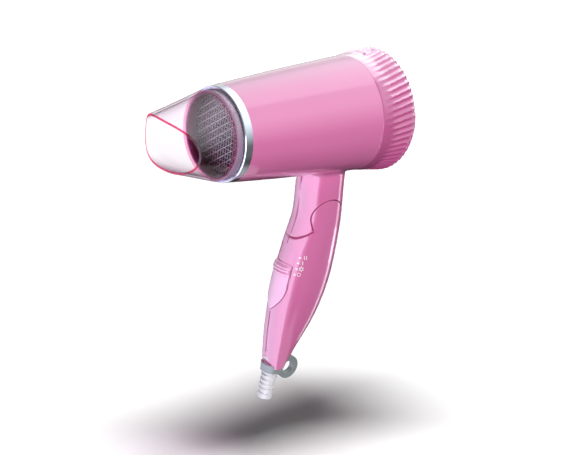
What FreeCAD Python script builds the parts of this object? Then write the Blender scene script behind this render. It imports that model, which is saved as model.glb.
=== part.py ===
# Folding hair dryer, in millimetres.
# Z is up, the barrel runs along X with the outlet toward -X, and the origin is at the middle of the grip.
import FreeCAD, Part
import math
import os
import Sketcher

doc = FreeCAD.newDocument("dryer")
V = FreeCAD.Vector
X_AXIS = V(1, 0, 0)
Y_AXIS = V(0, 1, 0)
Z_AXIS = V(0, 0, 1)

SIZES = [
    # barrel
    ("axis_height", "120"), ("neck_top_drop", "28"), ("wall", "2.2"), ("gap", "0.8"), ("barrel_bulge", "0.6"),
    ("seam_x", "25"), ("seam_radius", "41"),
    ("ring_back_x", "-82.3"), ("ring_back_radius", "33.3"),
    ("ring_front_x", "-88.1"), ("ring_front_radius", "32.9"),
    ("ring_bore", "30.8"), ("spigot_bore", "29.6"), ("spigot_end_x", "-77"),
    ("spigot_radius", "=ring_back_radius - wall - 0.1"),
    # outlet grille
    ("grille_depth", "1.7"), ("grille_pitch", "3.6"), ("grille_bar", "0.9"),
    # nozzle and its collar
    ("collar_back_x", "-84.3"), ("collar_front_x", "-92.3"), ("collar_radius", "30.4"), ("collar_bore", "28.6"),
    ("skirt_back_x", "-88.6"), ("skirt_radius", "31.9"), ("skirt_bore", "30.75"),
    ("nozzle_base_x", "-92.7"), ("nozzle_base_radius", "31.4"), ("nozzle_wall", "1.6"),
    ("plug_radius", "28.2"), ("plug_bore", "26.8"),
    ("outlet_x", "-132"), ("outlet_half_width", "32.7"), ("outlet_half_height", "16.75"),
    ("outlet_sweep", "67.1"),
    # rear cover and intake
    ("cover_max_x", "49"), ("cover_max_radius", "44.7"), ("cover_shoulder_x", "54.5"),
    ("cover_shoulder_radius", "39.5"), ("cover_back_x", "59.5"), ("intake_radius", "32.5"),
    ("intake_depth", "3"), ("intake_hub_radius", "9"), ("filter_depth", "2.2"), ("filter_thickness", "0.8"),
    # air path
    ("sleeve_thickness", "0.5"), ("sleeve_end_x", "-8"), ("board_thickness", "0.6"), ("board_front_x", "-74"),
    ("board_back_x", "-25"), ("coil_radius", "22"), ("coil_wire", "0.7"), ("coil_front_x", "-68"),
    ("coil_pitch", "6"),
    ("duct_radius", "34.5"), ("duct_bore", "33"), ("duct_back_x", "31"), ("cup_radius", "15.5"),
    ("motor_radius", "14"), ("motor_front_x", "-12"), ("motor_back_x", "14"), ("motor_wall", "1.5"),
    ("shaft_radius", "1"), ("bearing_gap", "0.05"),
    ("fan_radius", "32.2"), ("fan_front_x", "17"), ("fan_back_x", "29"), ("fan_hub_radius", "12"),
    # fold hinge
    ("pin_x", "23"), ("pin_z", "48.5"), ("pin_radius", "1.25"), ("pin_half_length", "8.2"),
    ("pin_gap", "0.05"), ("knuckle_radius", "3.1"), ("lug_half_width", "3.2"), ("washer_thickness", "0.6"),
    ("fold_angle", "100"), ("hook_radius", "29.7"), ("hook_drop", "9.8"), ("shoulder_slope", "30"),
    ("dome_x", "7.5"), ("dome_z", "47.5"), ("dome_radius", "14.1"),
    # switch
    ("slide_x", "-22.3"), ("slide_z", "8"), ("slide_lean", "11"), ("slide_travel", "12.9"),
    ("slide_gap", "0.4"), ("track_radius", "12.3"), ("track_depth", "2.2"), ("plate_half_width", "8.9"),
    ("plate_top", "5.5"), ("plate_tip", "-31.2"), ("plate_proud", "0.8"), ("ridge_proud", "2.4"),
    ("ridge_height", "7"),
    # grip end
    ("guard_x", "-21"), ("guard_z", "-69"), ("guard_lean", "8.85"), ("guard_length", "27"),
    ("guard_radius", "6.25"), ("cord_bore", "3.4"), ("loop_x", "-6.8"), ("loop_z", "-74.6"),
    ("loop_radius", "9"), ("loop_hole", "5"), ("loop_half_width", "2.4"), ("collar_ring", "8.2"),
]

# Handle sections from the top down: height, front x, back x, half width.
# The first one's height follows the barrel.
HANDLE_TOP = (-10.0, 25.3, 14.5)
HANDLE = [
    (72.0, -10.0, 25.6, 14.5),
    (56.0, -10.2, 26.1, 14.5),
    (42.0, -12.2, 26.4, 14.5),
    (30.0, -16.35, 26.0, 14.5),
    (15.0, -20.6, 24.8, 14.5),
    (-4.5, -24.9, 21.6, 14.5),
    (-20.0, -26.8, 16.9, 13.9),
    (-36.0, -27.7, 9.2, 12.8),
    (-52.0, -27.95, -1.4, 11.1),
    (-64.0, -27.2, -9.0, 9.7),
    (-70.4, -26.6, -12.6, 9.0),
]
HANDLE_POWER = 2.3

sheet = doc.addObject("Spreadsheet::Sheet", "dims")
for row, (alias, text) in enumerate(SIZES, start=1):
    sheet.set("A%d" % row, alias)
    sheet.set("B%d" % row, text)
    sheet.setAlias("B%d" % row, alias)
doc.recompute()


def dim(alias):
    return float(sheet.get(alias))


# ---------------------------------------------------------------- helpers

def feature(label, shape):
    """A named object with a shape worked out from the sheet."""
    obj = doc.addObject("Part::Feature", label)
    obj.Label = label
    place = shape.Placement
    obj.Shape = shape
    obj.Placement = place
    return obj


def revolve_x(points, height):
    """A solid of revolution about the barrel axis, from (x, radius) points; a triple is an arc's middle point."""
    edges = []
    last = None
    middle = None
    for point in points + [points[0]]:
        here = V(point[0], 0, height + point[1])
        if len(point) == 3:
            middle = here
            continue
        if last is not None:
            if middle is None:
                edges.append(Part.makeLine(last, here))
            else:
                edges.append(Part.Arc(last, middle, here).toShape())
        middle = None
        last = here
    face = Part.Face(Part.Wire(edges))
    return face.revolve(V(0, 0, height), X_AXIS, 360)


def superellipse(half_a, half_b, power, count=24):
    points = []
    for index in range(count):
        angle = 2 * math.pi * (index / count + 0.25)
        cosine = math.cos(angle)
        sine = math.sin(angle)
        a = math.copysign(abs(cosine) ** (2 / power), cosine) * half_a
        b = math.copysign(abs(sine) ** (2 / power), sine) * half_b
        points.append((a, b))
    return points


def closed_spline(points):
    curve = Part.BSplineCurve()
    curve.interpolate(points, PeriodicFlag=True)
    return Part.Wire(curve.toShape())


def handle_solid(inset, lift=0.0):
    """The neck and grip as one loft, drawn in by the inset (a negative inset grows it)."""
    wires = []
    sections = [(dim("axis_height") - dim("neck_top_drop"),) + HANDLE_TOP] + HANDLE
    last = len(sections) - 1
    for index, (z, front, back, half_width) in enumerate(sections):
        if index == last:
            z = z + lift
        centre = (front + back) / 2
        half_depth = (back - front) / 2 - inset
        outline = superellipse(half_depth, half_width - inset, HANDLE_POWER)
        wires.append(closed_spline([V(centre + a, b, z) for a, b in outline]))
    return Part.makeLoft(wires, True, False)


def box(x0, x1, y0, y1, z0, z1):
    return Part.makeBox(x1 - x0, y1 - y0, z1 - z0, V(x0, y0, z0))


def rod_y(x, z, radius, y0, y1):
    return Part.makeCylinder(radius, y1 - y0, V(x, y0, z), Y_AXIS)


def rod_x(y, z, radius, x0, x1):
    return Part.makeCylinder(radius, x1 - x0, V(x0, y, z), X_AXIS)


def half_space(side):
    """Everything on one side of the parting plane: -1 is the left half, 1 is the right half."""
    if side < 0:
        return box(-200, 100, -80, 0, -150, 220)
    return box(-200, 100, 0, 80, -150, 220)


def leaned(shape, lean, x, z):
    """Moves a shape drawn about the origin to a place that leans about Y."""
    moved = shape.copy()
    moved.rotate(V(0, 0, 0), Y_AXIS, lean)
    moved.translate(V(x, 0, z))
    return moved


def single(shape):
    """The largest solid of a result."""
    solids = sorted(shape.Solids, key=lambda solid: solid.Volume)
    return solids[-1]


def revolved_body(label, profile, place_x=None, place_z="dims.axis_height", lean=None):
    """A body turned about its own X axis; the profile is a list of (x, radius) sheet aliases."""
    body = doc.addObject("PartDesign::Body", label)
    body.Label = label
    plane = [item for item in body.Origin.OriginFeatures if item.Role == "XZ_Plane"][0]
    sketch = body.newObject("Sketcher::SketchObject", label + "_profile")
    sketch.AttachmentSupport = [(plane, "")]
    sketch.MapMode = "FlatFace"
    count = len(profile)
    values = [(dim(x), dim(r)) for x, r in profile]
    for index in range(count):
        x0, r0 = values[index]
        x1, r1 = values[(index + 1) % count]
        sketch.addGeometry(Part.LineSegment(V(x0, r0, 0), V(x1, r1, 0)), False)
    for index in range(count):
        sketch.addConstraint(Sketcher.Constraint("Coincident", index, 2, (index + 1) % count, 1))
    for index, (x_alias, r_alias) in enumerate(profile):
        number = sketch.addConstraint(Sketcher.Constraint("DistanceX", -1, 1, index, 1, values[index][0]))
        sketch.setExpression("Constraints[%d]" % number, "dims." + x_alias)
        number = sketch.addConstraint(Sketcher.Constraint("DistanceY", -1, 1, index, 1, values[index][1]))
        sketch.setExpression("Constraints[%d]" % number, "dims." + r_alias)
    turn = body.newObject("PartDesign::Revolution", label + "_turn")
    turn.Profile = sketch
    turn.ReferenceAxis = (sketch, ["H_Axis"])
    turn.Angle = 360
    body.Tip = turn
    if lean is not None:
        body.Placement = FreeCAD.Placement(V(0, 0, 0), FreeCAD.Rotation(Y_AXIS, lean))
    if place_x is not None:
        body.setExpression("Placement.Base.x", place_x)
    body.setExpression("Placement.Base.z", place_z)
    return body


def bound_cylinder(name, radius, length, x, y="0", z="dims.axis_height", axis=Y_AXIS, angle=90):
    """A Part cylinder whose size and place follow the sheet."""
    obj = doc.addObject("Part::Cylinder", name)
    obj.Placement = FreeCAD.Placement(V(0, 0, 0), FreeCAD.Rotation(axis, angle))
    obj.setExpression("Radius", radius)
    obj.setExpression("Height", length)
    obj.setExpression("Placement.Base.x", x)
    obj.setExpression("Placement.Base.y", y)
    obj.setExpression("Placement.Base.z", z)
    return obj


def bound_box(name, length, width, height, x, y, z):
    obj = doc.addObject("Part::Box", name)
    for field, text in (("Length", length), ("Width", width), ("Height", height)):
        obj.setExpression(field, text)
    for field, text in (("x", x), ("y", y), ("z", z)):
        obj.setExpression("Placement.Base." + field, text)
    return obj


def cut(label, base, tool):
    obj = doc.addObject("Part::Cut", label)
    obj.Label = label
    obj.Base = base
    obj.Tool = tool
    return obj


def fuse(label, shapes):
    obj = doc.addObject("Part::MultiFuse", label)
    obj.Label = label
    obj.Shapes = shapes
    return obj


parts = []


def keep(obj):
    parts.append(obj)
    return obj


# ---------------------------------------------------------------- fold line

def seam_zone(offset):
    """The side view of the grip's region: everything below the fold line, moved in by the offset."""
    pin = V(dim("pin_x"), 0, dim("pin_z"))
    reach = dim("hook_radius") - offset
    slope = math.tan(math.radians(dim("shoulder_slope")))
    drop = dim("hook_drop") + offset / math.cos(math.radians(dim("shoulder_slope")))
    tip = V(pin.x - math.sqrt(reach ** 2 - drop ** 2), 0, pin.z - drop)
    dome = V(dim("dome_x"), 0, dim("dome_z"))
    dome_radius = dim("dome_radius") - offset
    hook_top = V(pin.x - reach, 0, pin.z)
    dome_left = V(dome.x - math.sqrt(dome_radius ** 2 - 1), 0, dome.z + 1)
    ease = math.radians(28)
    dome_end = dome + V(dome_radius * math.cos(ease), 0, dome_radius * math.sin(ease))
    crown = dome + V(0, 0, dome_radius)
    edge = dim("knuckle_radius") * math.tan(math.radians(dim("fold_angle") / 2))
    back_z = pin.z + edge + dim("gap") - offset * 1.3
    back_start = V(pin.x - 1.8 - offset * 0.5, 0, back_z)
    front = V(tip.x - 30, 0, tip.z - 30 * slope)
    half_turn = math.asin(drop / reach) / 2
    hook_middle = pin + V(-reach * math.cos(half_turn), 0, -reach * math.sin(half_turn))
    edges = [
        Part.makeLine(front, tip),
        Part.Arc(tip, hook_middle, hook_top).toShape(),
        Part.makeLine(hook_top, dome_left),
        Part.Arc(dome_left, crown, dome_end).toShape(),
        Part.makeLine(dome_end, back_start),
        Part.makeLine(back_start, V(45, 0, back_z)),
        Part.makeLine(V(45, 0, back_z), V(45, 0, -95)),
        Part.makeLine(V(45, 0, -95), V(front.x, 0, -95)),
        Part.makeLine(V(front.x, 0, -95), front),
    ]
    return Part.Face(Part.Wire(edges))


def seam_prism(offset, half_width=25):
    face = seam_zone(offset)
    face.translate(V(0, -half_width, 0))
    return face.extrude(V(0, 2 * half_width, 0))


# ---------------------------------------------------------------- head shell

BOSSES = [(-2.0, 70.5), (17.0, 67.5)]
GRIP_BOSSES = [(15.0, 27.0), (3.0, -30.0)]
BOSS_RADIUS = 3.2
SCREW_RADIUS = 1.25
SCREW_HEAD = 2.6
HEAD_DEPTH = 9.5


def screw(x, z):
    """A pan-head screw put in from the right side."""
    shank = rod_y(x, z, SCREW_RADIUS, -7, HEAD_DEPTH)
    head = rod_y(x, z, SCREW_HEAD, HEAD_DEPTH, HEAD_DEPTH + 1.6)
    slot = box(x - 2.0, x + 2.0, HEAD_DEPTH + 0.9, HEAD_DEPTH + 3, z - 0.35, z + 0.35)
    slot = slot.fuse(box(x - 0.35, x + 0.35, HEAD_DEPTH + 0.9, HEAD_DEPTH + 3, z - 2.0, z + 2.0))
    return shank.fuse(head).cut(slot)


def boss_pair(x, z, inside):
    """A screw post across the shell, kept within its inner surface."""
    return rod_y(x, z, BOSS_RADIUS, -20, 20).common(inside)


def drill(shape, x, z):
    shape = shape.cut(rod_y(x, z, SCREW_RADIUS, -7, 20))
    return shape.cut(rod_y(x, z, SCREW_HEAD + 0.3, HEAD_DEPTH, 30))


def cover_profile():
    """Outer line of the rear cover, from the seam to the intake opening."""
    middle_x = (dim("cover_max_x") + dim("cover_shoulder_x")) / 2 + 1.0
    middle_r = (dim("cover_max_radius") + dim("cover_shoulder_radius")) / 2 + 1.25
    return [
        (dim("seam_x"), dim("seam_radius")),
        (dim("cover_max_x"), dim("cover_max_radius")),
        (middle_x, middle_r, "arc"),
        (dim("cover_shoulder_x"), dim("cover_shoulder_radius")),
        (dim("cover_back_x"), dim("intake_radius")),
    ]


def barrel_solid(inset):
    middle_x = (dim("ring_back_x") + dim("seam_x")) / 2
    middle_r = (dim("ring_back_radius") + dim("seam_radius")) / 2 + dim("barrel_bulge")
    back_x = dim("seam_x")
    return revolve_x([
        (dim("ring_back_x"), 0),
        (dim("ring_back_x"), dim("ring_back_radius") - inset),
        (middle_x, middle_r - inset, "arc"),
        (back_x, dim("seam_radius") - inset),
        (back_x, 0),
    ], dim("axis_height"))


def make_housings(handle, hollow):
    height = dim("axis_height")
    neck_top = box(-60, 60, -40, 40, 20, height - 10)
    neck = handle.common(neck_top).cut(seam_prism(0))
    cover = revolve_x([(dim("seam_x"), 0)] + cover_profile() + [(dim("cover_back_x"), 0)], height)
    outer = barrel_solid(0).fuse(neck.cut(cover))
    neck_bore = hollow.common(box(-60, dim("seam_x") - 1.2, -40, 40, 20, height - 5))
    shell = outer.cut(barrel_solid(dim("wall"))).cut(neck_bore)
    inside = hollow.common(box(-60, 60, -40, 40, 30, height - dim("seam_radius") + 6))
    for x, z in BOSSES:
        shell = shell.fuse(boss_pair(x, z, inside))
    for x, z in BOSSES:
        shell = drill(shell, x, z)
    pin_x = dim("pin_x")
    pin_z = dim("pin_z")
    knuckle = dim("knuckle_radius")
    lug_half = dim("lug_half_width")
    lug = box(pin_x - knuckle, pin_x + knuckle + 1, -lug_half, lug_half, pin_z, pin_z + 12)
    lug = lug.fuse(rod_y(pin_x, pin_z, knuckle, -lug_half, lug_half)).common(handle)
    shell = shell.fuse(lug)
    shell = shell.cut(rod_y(pin_x, pin_z, dim("pin_radius") + dim("pin_gap"), -20, 20))
    keep(feature("housing_left", single(shell.common(half_space(-1)))))
    keep(feature("housing_right", single(shell.common(half_space(1)))))
    screws = Part.makeCompound([screw(x, z) for x, z in BOSSES])
    keep(feature("housing_screws", screws))


def make_rear_cover():
    wall = dim("wall")
    outer = cover_profile()
    inner = []
    for point in reversed(outer):
        inner.append((point[0] - wall, point[1] - wall) + point[2:])
    inner[0] = (dim("cover_back_x") - dim("intake_depth"), dim("intake_radius"))
    inner[-1] = (dim("seam_x"), dim("seam_radius") - wall)
    shell = revolve_x(outer + inner, dim("axis_height"))
    keep(feature("rear_cover", shell))


def make_rear_grille():
    height = dim("axis_height")
    back = dim("cover_back_x")
    front = back - dim("intake_depth")
    rim = dim("intake_radius")
    hub = dim("intake_hub_radius")
    bars = []
    count = 40
    blade = box(front, back - 0.6, -0.55, 0.55, hub - 1, rim - 1)
    blade.rotate(V(0, 0, hub), X_AXIS, 28)
    for index in range(count):
        bar = blade.copy()
        bar.rotate(V(0, 0, 0), X_AXIS, 360.0 * index / count)
        bars.append(bar)
    rings = [revolve_x([(front, r0), (front, r1), (back - 0.3, r1), (back - 0.3, r0)], 0)
             for r0, r1 in ((rim - 2.2, rim), (rim * 0.62, rim * 0.62 + 1.2))]
    boss = revolve_x([(front, 0), (front, hub), (back - 0.4, hub), (back, hub - 1.5), (back, 0)], 0)
    disc = revolve_x([(front, 0), (front, rim), (back, rim), (back, 0)], 0)
    grille = boss.multiFuse(bars + rings).common(disc)
    grille.translate(V(0, 0, height))
    keep(feature("rear_grille", single(grille)))


def make_filter():
    height = dim("axis_height")
    rim = dim("cover_shoulder_radius") - dim("wall")
    seat = dim("cover_shoulder_x") - dim("wall")
    front = seat - dim("filter_depth")
    back = front + dim("filter_thickness")
    frame = revolve_x([(front, rim - 2), (front, rim), (seat, rim), (seat, rim - 2)], 0)
    bars = []
    for index in range(-7, 8):
        offset = index * 4.6
        bars.append(box(front, back, offset - 0.3, offset + 0.3, -rim + 1, rim - 1))
        bars.append(box(front, back, -rim + 1, rim - 1, offset - 0.3, offset + 0.3))
    disc = revolve_x([(front, 0), (front, rim - 1), (back, rim - 1), (back, 0)], 0)
    mesh = bars[0].multiFuse(bars[1:]).common(disc)
    mesh = frame.fuse(mesh)
    mesh.translate(V(0, 0, height))
    keep(feature("intake_filter", single(mesh)))


# ---------------------------------------------------------------- outlet and nozzle

def make_trim_ring():
    sheet_rows = [
        ("trim_lip_x", "=ring_front_x + 0.5"),
        ("trim_lip_radius", "=ring_front_radius - 0.5"),
    ]
    add_sizes(sheet_rows)
    profile = [
        ("spigot_end_x", "spigot_bore"), ("spigot_end_x", "spigot_radius"), ("ring_back_x", "spigot_radius"),
        ("ring_back_x", "ring_back_radius"), ("trim_lip_x", "ring_front_radius"),
        ("ring_front_x", "trim_lip_radius"), ("ring_front_x", "ring_bore"), ("ring_back_x", "ring_bore"),
        ("ring_back_x", "spigot_bore"),
    ]
    keep(revolved_body("front_trim_ring", profile))


def add_sizes(rows):
    start = 1
    while sheet.getContents("A%d" % start):
        start = start + 1
    for offset, (alias, text) in enumerate(rows):
        sheet.set("A%d" % (start + offset), alias)
        sheet.set("B%d" % (start + offset), text)
        sheet.setAlias("B%d" % (start + offset), alias)
    doc.recompute()


def make_front_grille():
    height = dim("axis_height")
    back = dim("ring_back_x")
    front = back - dim("grille_depth")
    rim = dim("ring_bore")
    pitch = dim("grille_pitch")
    half = dim("grille_bar") / 2
    frame = revolve_x([(front, rim - 2), (front, rim), (back, rim), (back, rim - 2)], 0)
    disc = revolve_x([(front, 0), (front, rim - 1), (back, rim - 1), (back, 0)], 0)
    bars = []
    reach = int(rim / pitch)
    for index in range(-reach, reach + 1):
        bars.append(box(front, back, index * pitch - half, index * pitch + half, -rim, rim))
    for level in (-2, -1, 0, 1, 2):
        bars.append(box(front + 0.5, back, -rim, rim, level * 2.6 * pitch - half, level * 2.6 * pitch + half))
    grille = frame.fuse(bars[0].multiFuse(bars[1:]).common(disc))
    grille.translate(V(0, 0, height))
    keep(feature("front_grille", single(grille)))


def make_collar():
    profile = [
        ("collar_back_x", "collar_bore"), ("collar_back_x", "collar_radius"), ("collar_front_x", "collar_radius"),
        ("collar_front_x", "collar_bore"),
    ]
    keep(revolved_body("nozzle_collar", profile))


def nozzle_solid(inset):
    """Loft from the round base to the flat outlet, with straight walls between them."""
    base_x = dim("nozzle_base_x")
    end_x = dim("outlet_x") - 1
    count = 32
    base = superellipse(dim("nozzle_base_radius") - inset, dim("nozzle_base_radius") - inset, 2, count)
    rim = superellipse(dim("outlet_half_width") - inset, dim("outlet_half_height") - inset, 2.13, count)
    first = closed_spline([V(base_x, a, b) for a, b in base])
    last = closed_spline([V(end_x, a, b - 0.6) for a, b in rim])
    return Part.makeLoft([first, last], True, True)


def make_nozzle():
    height = dim("axis_height")
    base_x = dim("nozzle_base_x")
    wall = dim("nozzle_wall")
    sweep = dim("outlet_sweep")
    reach = 2 * dim("nozzle_base_radius")
    trim = Part.makeCylinder(sweep, 2 * reach, V(dim("outlet_x") + sweep, 0, -reach), Z_AXIS)
    cone = nozzle_solid(0).cut(nozzle_solid(wall)).common(trim)
    web_x = base_x - 1.6
    inner = dim("nozzle_base_radius") - wall + 0.4
    ring = revolve_x([
        (dim("skirt_back_x"), dim("skirt_bore")), (dim("skirt_back_x"), dim("skirt_radius")),
        (base_x, dim("nozzle_base_radius") - 0.3), (web_x, inner),
        (web_x, dim("plug_bore")), (dim("collar_back_x"), dim("plug_bore")),
        (dim("collar_back_x"), dim("plug_radius")), (base_x, dim("plug_radius")),
        (base_x, dim("skirt_bore")),
    ], 0)
    nozzle = cone.fuse(ring)
    nozzle.translate(V(0, 0, height))
    keep(feature("nozzle", single(nozzle)))


# ---------------------------------------------------------------- heater and motor

def make_sleeve():
    add_sizes([("sleeve_start_x", "=spigot_end_x - 3")])
    outer = bound_cylinder("sleeve_outer", "dims.spigot_bore", "dims.sleeve_end_x - dims.sleeve_start_x",
                           "dims.sleeve_start_x")
    inner = bound_cylinder("sleeve_inner", "dims.spigot_bore - dims.sleeve_thickness",
                           "dims.sleeve_end_x - dims.sleeve_start_x", "dims.sleeve_start_x")
    keep(cut("mica_sleeve", outer, inner))


def coil_places():
    first = dim("coil_front_x")
    return [first + index * dim("coil_pitch") for index in range(6)]


def coil_rings(wire):
    rings = []
    for x in coil_places():
        for radius in (dim("coil_radius"), dim("coil_radius") * 0.6):
            ring = Part.makeTorus(radius, wire, V(x, 0, 0), X_AXIS)
            rings.append(ring)
    return rings


def make_heater():
    height = dim("axis_height")
    half = dim("board_thickness") / 2
    reach = dim("spigot_bore") - dim("sleeve_thickness") - 0.05
    front = dim("board_front_x")
    back = dim("board_back_x")
    middle = (front + back) / 2
    upright = box(front, back, -half, half, -reach, reach)
    flat = box(front, back, -reach, reach, -half, half)
    clear = Part.makeCompound(coil_rings(dim("coil_wire") + 0.25))
    upright = upright.cut(box(front - 1, middle, -2, 2, -half, half)).cut(clear)
    flat = flat.cut(box(middle, back + 1, -half, half, -2, 2)).cut(clear)
    wire = dim("coil_wire")
    outer_radius = dim("coil_radius")
    inner_radius = outer_radius * 0.6
    places = coil_places()
    links = []
    for radius, turn in ((outer_radius, 45), (inner_radius, 135)):
        y = radius * math.cos(math.radians(turn))
        z = radius * math.sin(math.radians(turn))
        links.append(rod_x(y, z, wire * 0.7, places[0], places[-1]))
        links.append(rod_x(-y, -z, wire * 0.7, places[0], places[-1]))
    outer_coil = coil_rings(wire)[0::2]
    inner_coil = coil_rings(wire)[1::2]
    outer_coil = outer_coil[0].multiFuse(outer_coil[1:] + links[0:2])
    inner_coil = inner_coil[0].multiFuse(inner_coil[1:] + links[2:4])
    coils = Part.makeCompound([outer_coil, inner_coil])
    for label, shape in (("mica_board_upright", upright), ("mica_board_flat", flat), ("heater_coils", coils)):
        shape.translate(V(0, 0, height))
        keep(feature(label, shape))


def make_safety_parts():
    top = "dims.axis_height + dims.board_thickness / 2"
    body = bound_box("thermostat_base", "9", "8", "3", "dims.board_back_x - 10", "6", top)
    cap = bound_cylinder("thermostat_cap", "3", "1.6", "dims.board_back_x - 5.5", "10",
                         top + " + 3", Z_AXIS, 0)
    keep(fuse("thermostat", [body, cap]))
    can = bound_cylinder("fuse_can", "1.6", "9", "dims.board_back_x - 10", "-11", top + " + 1.6")
    lead = bound_cylinder("fuse_lead", "0.4", "12", "dims.board_back_x - 12", "-11", top + " + 1.6")
    keep(fuse("thermal_fuse", [can, lead]))


def make_motor():
    add_sizes([
        ("motor_bore", "=motor_radius - motor_wall"),
        ("motor_inner_x", "=motor_back_x - motor_wall"),
        ("bearing_bore", "=shaft_radius + bearing_gap"),
        ("cap_front_x", "=motor_front_x - 2"),
        ("cap_mid_x", "=motor_front_x + 1.5"),
        ("cap_nose_x", "=motor_front_x - 5"),
        ("cap_nose_radius", "4"),
        ("can_nose_x", "=motor_back_x + 1.5"),
        ("armature_front_x", "=motor_front_x + 3"),
        ("armature_back_x", "=motor_back_x - 4"),
        ("armature_radius", "9"),
        ("shaft_front_x", "=motor_front_x - 3"),
        ("shaft_back_x", "=fan_back_x + 2"),
    ])
    keep(revolved_body("motor_can", [
        ("motor_front_x", "motor_bore"), ("motor_front_x", "motor_radius"), ("motor_back_x", "motor_radius"),
        ("motor_back_x", "cap_nose_radius"), ("can_nose_x", "cap_nose_radius"), ("can_nose_x", "bearing_bore"),
        ("motor_inner_x", "bearing_bore"), ("motor_inner_x", "motor_bore"),
    ]))
    keep(revolved_body("motor_end_cap", [
        ("cap_nose_x", "bearing_bore"), ("cap_nose_x", "cap_nose_radius"), ("cap_front_x", "cap_nose_radius"),
        ("cap_front_x", "motor_radius"), ("motor_front_x", "motor_radius"), ("motor_front_x", "motor_bore"),
        ("cap_mid_x", "motor_bore"), ("cap_mid_x", "bearing_bore"),
    ]))
    shaft = bound_cylinder("motor_shaft", "dims.shaft_radius", "dims.shaft_back_x - dims.shaft_front_x",
                           "dims.shaft_front_x")
    shaft.Label = "motor_shaft"
    keep(shaft)
    core = bound_cylinder("armature_core", "dims.armature_radius", "dims.armature_back_x - dims.armature_front_x",
                          "dims.armature_front_x")
    bore = bound_cylinder("armature_bore", "dims.shaft_radius", "dims.armature_back_x - dims.armature_front_x",
                          "dims.armature_front_x")
    keep(cut("motor_armature", core, bore))


def make_rectifier():
    height = dim("axis_height")
    front = dim("motor_front_x") - 7.5
    board = revolve_x([(front, 5), (front, 13), (front + 1.2, 13), (front + 1.2, 5)], 0)
    parts_on_board = []
    for index in range(4):
        diode = rod_x(9.0, 0, 1.4, front - 4.5, front)
        diode.rotate(V(0, 0, 0), X_AXIS, 45 + 90 * index)
        parts_on_board.append(diode)
    posts = []
    for index in range(2):
        post = rod_x(9.0, 0, 1.2, front + 1.2, dim("motor_front_x") - 2)
        post.rotate(V(0, 0, 0), X_AXIS, 180 * index)
        posts.append(post)
    board = board.multiFuse(parts_on_board + posts)
    board.translate(V(0, 0, height))
    keep(feature("rectifier_board", single(board)))


def make_duct():
    height = dim("axis_height")
    outer = dim("duct_radius")
    bore = dim("duct_bore")
    cup = dim("cup_radius")
    motor = dim("motor_radius")
    front = dim("sleeve_end_x")
    back = dim("duct_back_x")
    seam = dim("seam_x")
    sleeve = dim("spigot_bore") - dim("sleeve_thickness")
    flange = dim("seam_radius") - dim("wall") - 0.3
    tube = revolve_x([
        (front, sleeve), (front, outer), (seam - 3, outer), (seam - 3, flange), (seam, flange), (seam, outer),
        (back, outer), (back, bore), (front + 2, bore), (front + 2, sleeve),
    ], 0)
    holder = revolve_x([(front + 2, motor), (front + 2, cup), (dim("motor_back_x"), cup),
                        (dim("motor_back_x"), motor)], 0)
    vanes = []
    for index in range(7):
        vane = box(front + 2.5, front + 16, -0.7, 0.7, cup - 0.4, bore + 0.4)
        vane.rotate(V(front + 9, 0, 0), Z_AXIS, 18)
        vane.rotate(V(0, 0, 0), X_AXIS, 360.0 * index / 7)
        vanes.append(vane)
    duct = tube.multiFuse([holder] + vanes)
    duct = duct.cut(revolve_x([(front - 5, 0), (front - 5, motor), (back, motor), (back, 0)], 0))
    duct.translate(V(0, 0, height))
    keep(feature("motor_duct", single(duct)))


def make_fan():
    height = dim("axis_height")
    front = dim("fan_front_x")
    back = dim("fan_back_x")
    hub = dim("fan_hub_radius")
    tip = dim("fan_radius")
    shaft = dim("shaft_radius")
    hub_solid = revolve_x([
        (front, hub - 1.5), (front, hub), (back - 3, hub), (back + 2, hub * 0.5), (back + 2, shaft),
        (front + 3, shaft), (front + 3, 4), (back - 2, 4), (back - 3.5, hub - 1.5),
    ], 0)
    blades = []
    for index in range(9):
        blade = Part.makeBox(1.4, 17, tip - hub + 3, V(-0.7, -8.5, hub - 0.6))
        blade.rotate(V(0, 0, 0), Z_AXIS, 52)
        blade.translate(V((front + back) / 2, 0, 0))
        blade.rotate(V(0, 0, 0), X_AXIS, 40.0 * index)
        blades.append(blade)
    sweep = revolve_x([(front, 0), (front, tip), (back, tip), (back + 2, 0)], 0)
    fan = hub_solid.multiFuse([blade.common(sweep) for blade in blades])
    fan.translate(V(0, 0, height))
    keep(feature("fan_impeller", single(fan)))


# ---------------------------------------------------------------- grip

def leaf(grow, top, tip):
    """The slider's outline, in the plane across the grip's front: square top, long round-ended tongue."""
    half = dim("plate_half_width") + grow
    top = top + grow
    tip = tip - grow
    turn = -10.0
    edges = [
        Part.makeLine(V(0, -half + 2, top), V(0, half - 2, top)),
        Part.makeLine(V(0, half - 2, top), V(0, half, top - 2)),
        Part.makeLine(V(0, half, top - 2), V(0, half, turn)),
        Part.Arc(V(0, half, turn), V(0, half * 0.74, (turn + tip) * 0.5 - 2.5), V(0, 0, tip)).toShape(),
        Part.Arc(V(0, 0, tip), V(0, -half * 0.74, (turn + tip) * 0.5 - 2.5), V(0, -half, turn)).toShape(),
        Part.makeLine(V(0, -half, turn), V(0, -half, top - 2)),
        Part.makeLine(V(0, -half, top - 2), V(0, -half + 2, top)),
    ]
    return Part.Face(Part.Wire(edges))


def on_slide(shape):
    return leaned(shape, dim("slide_lean"), dim("slide_x"), dim("slide_z"))


def track(radius, low, high):
    """A round bar along the slide direction, which shapes the track's floor."""
    centre = dim("track_depth") + dim("track_radius")
    return on_slide(Part.makeCylinder(radius, high - low, V(centre, 0, low), Z_AXIS))


def slide_prism(grow, top, tip, depth):
    face = leaf(grow, top, tip)
    face.translate(V(-12, 0, 0))
    return on_slide(face.extrude(V(12 + depth, 0, 0)))


POST_LOW = -15.0
POST_HIGH = -9.0
POST_HALF = 2.0


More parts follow.
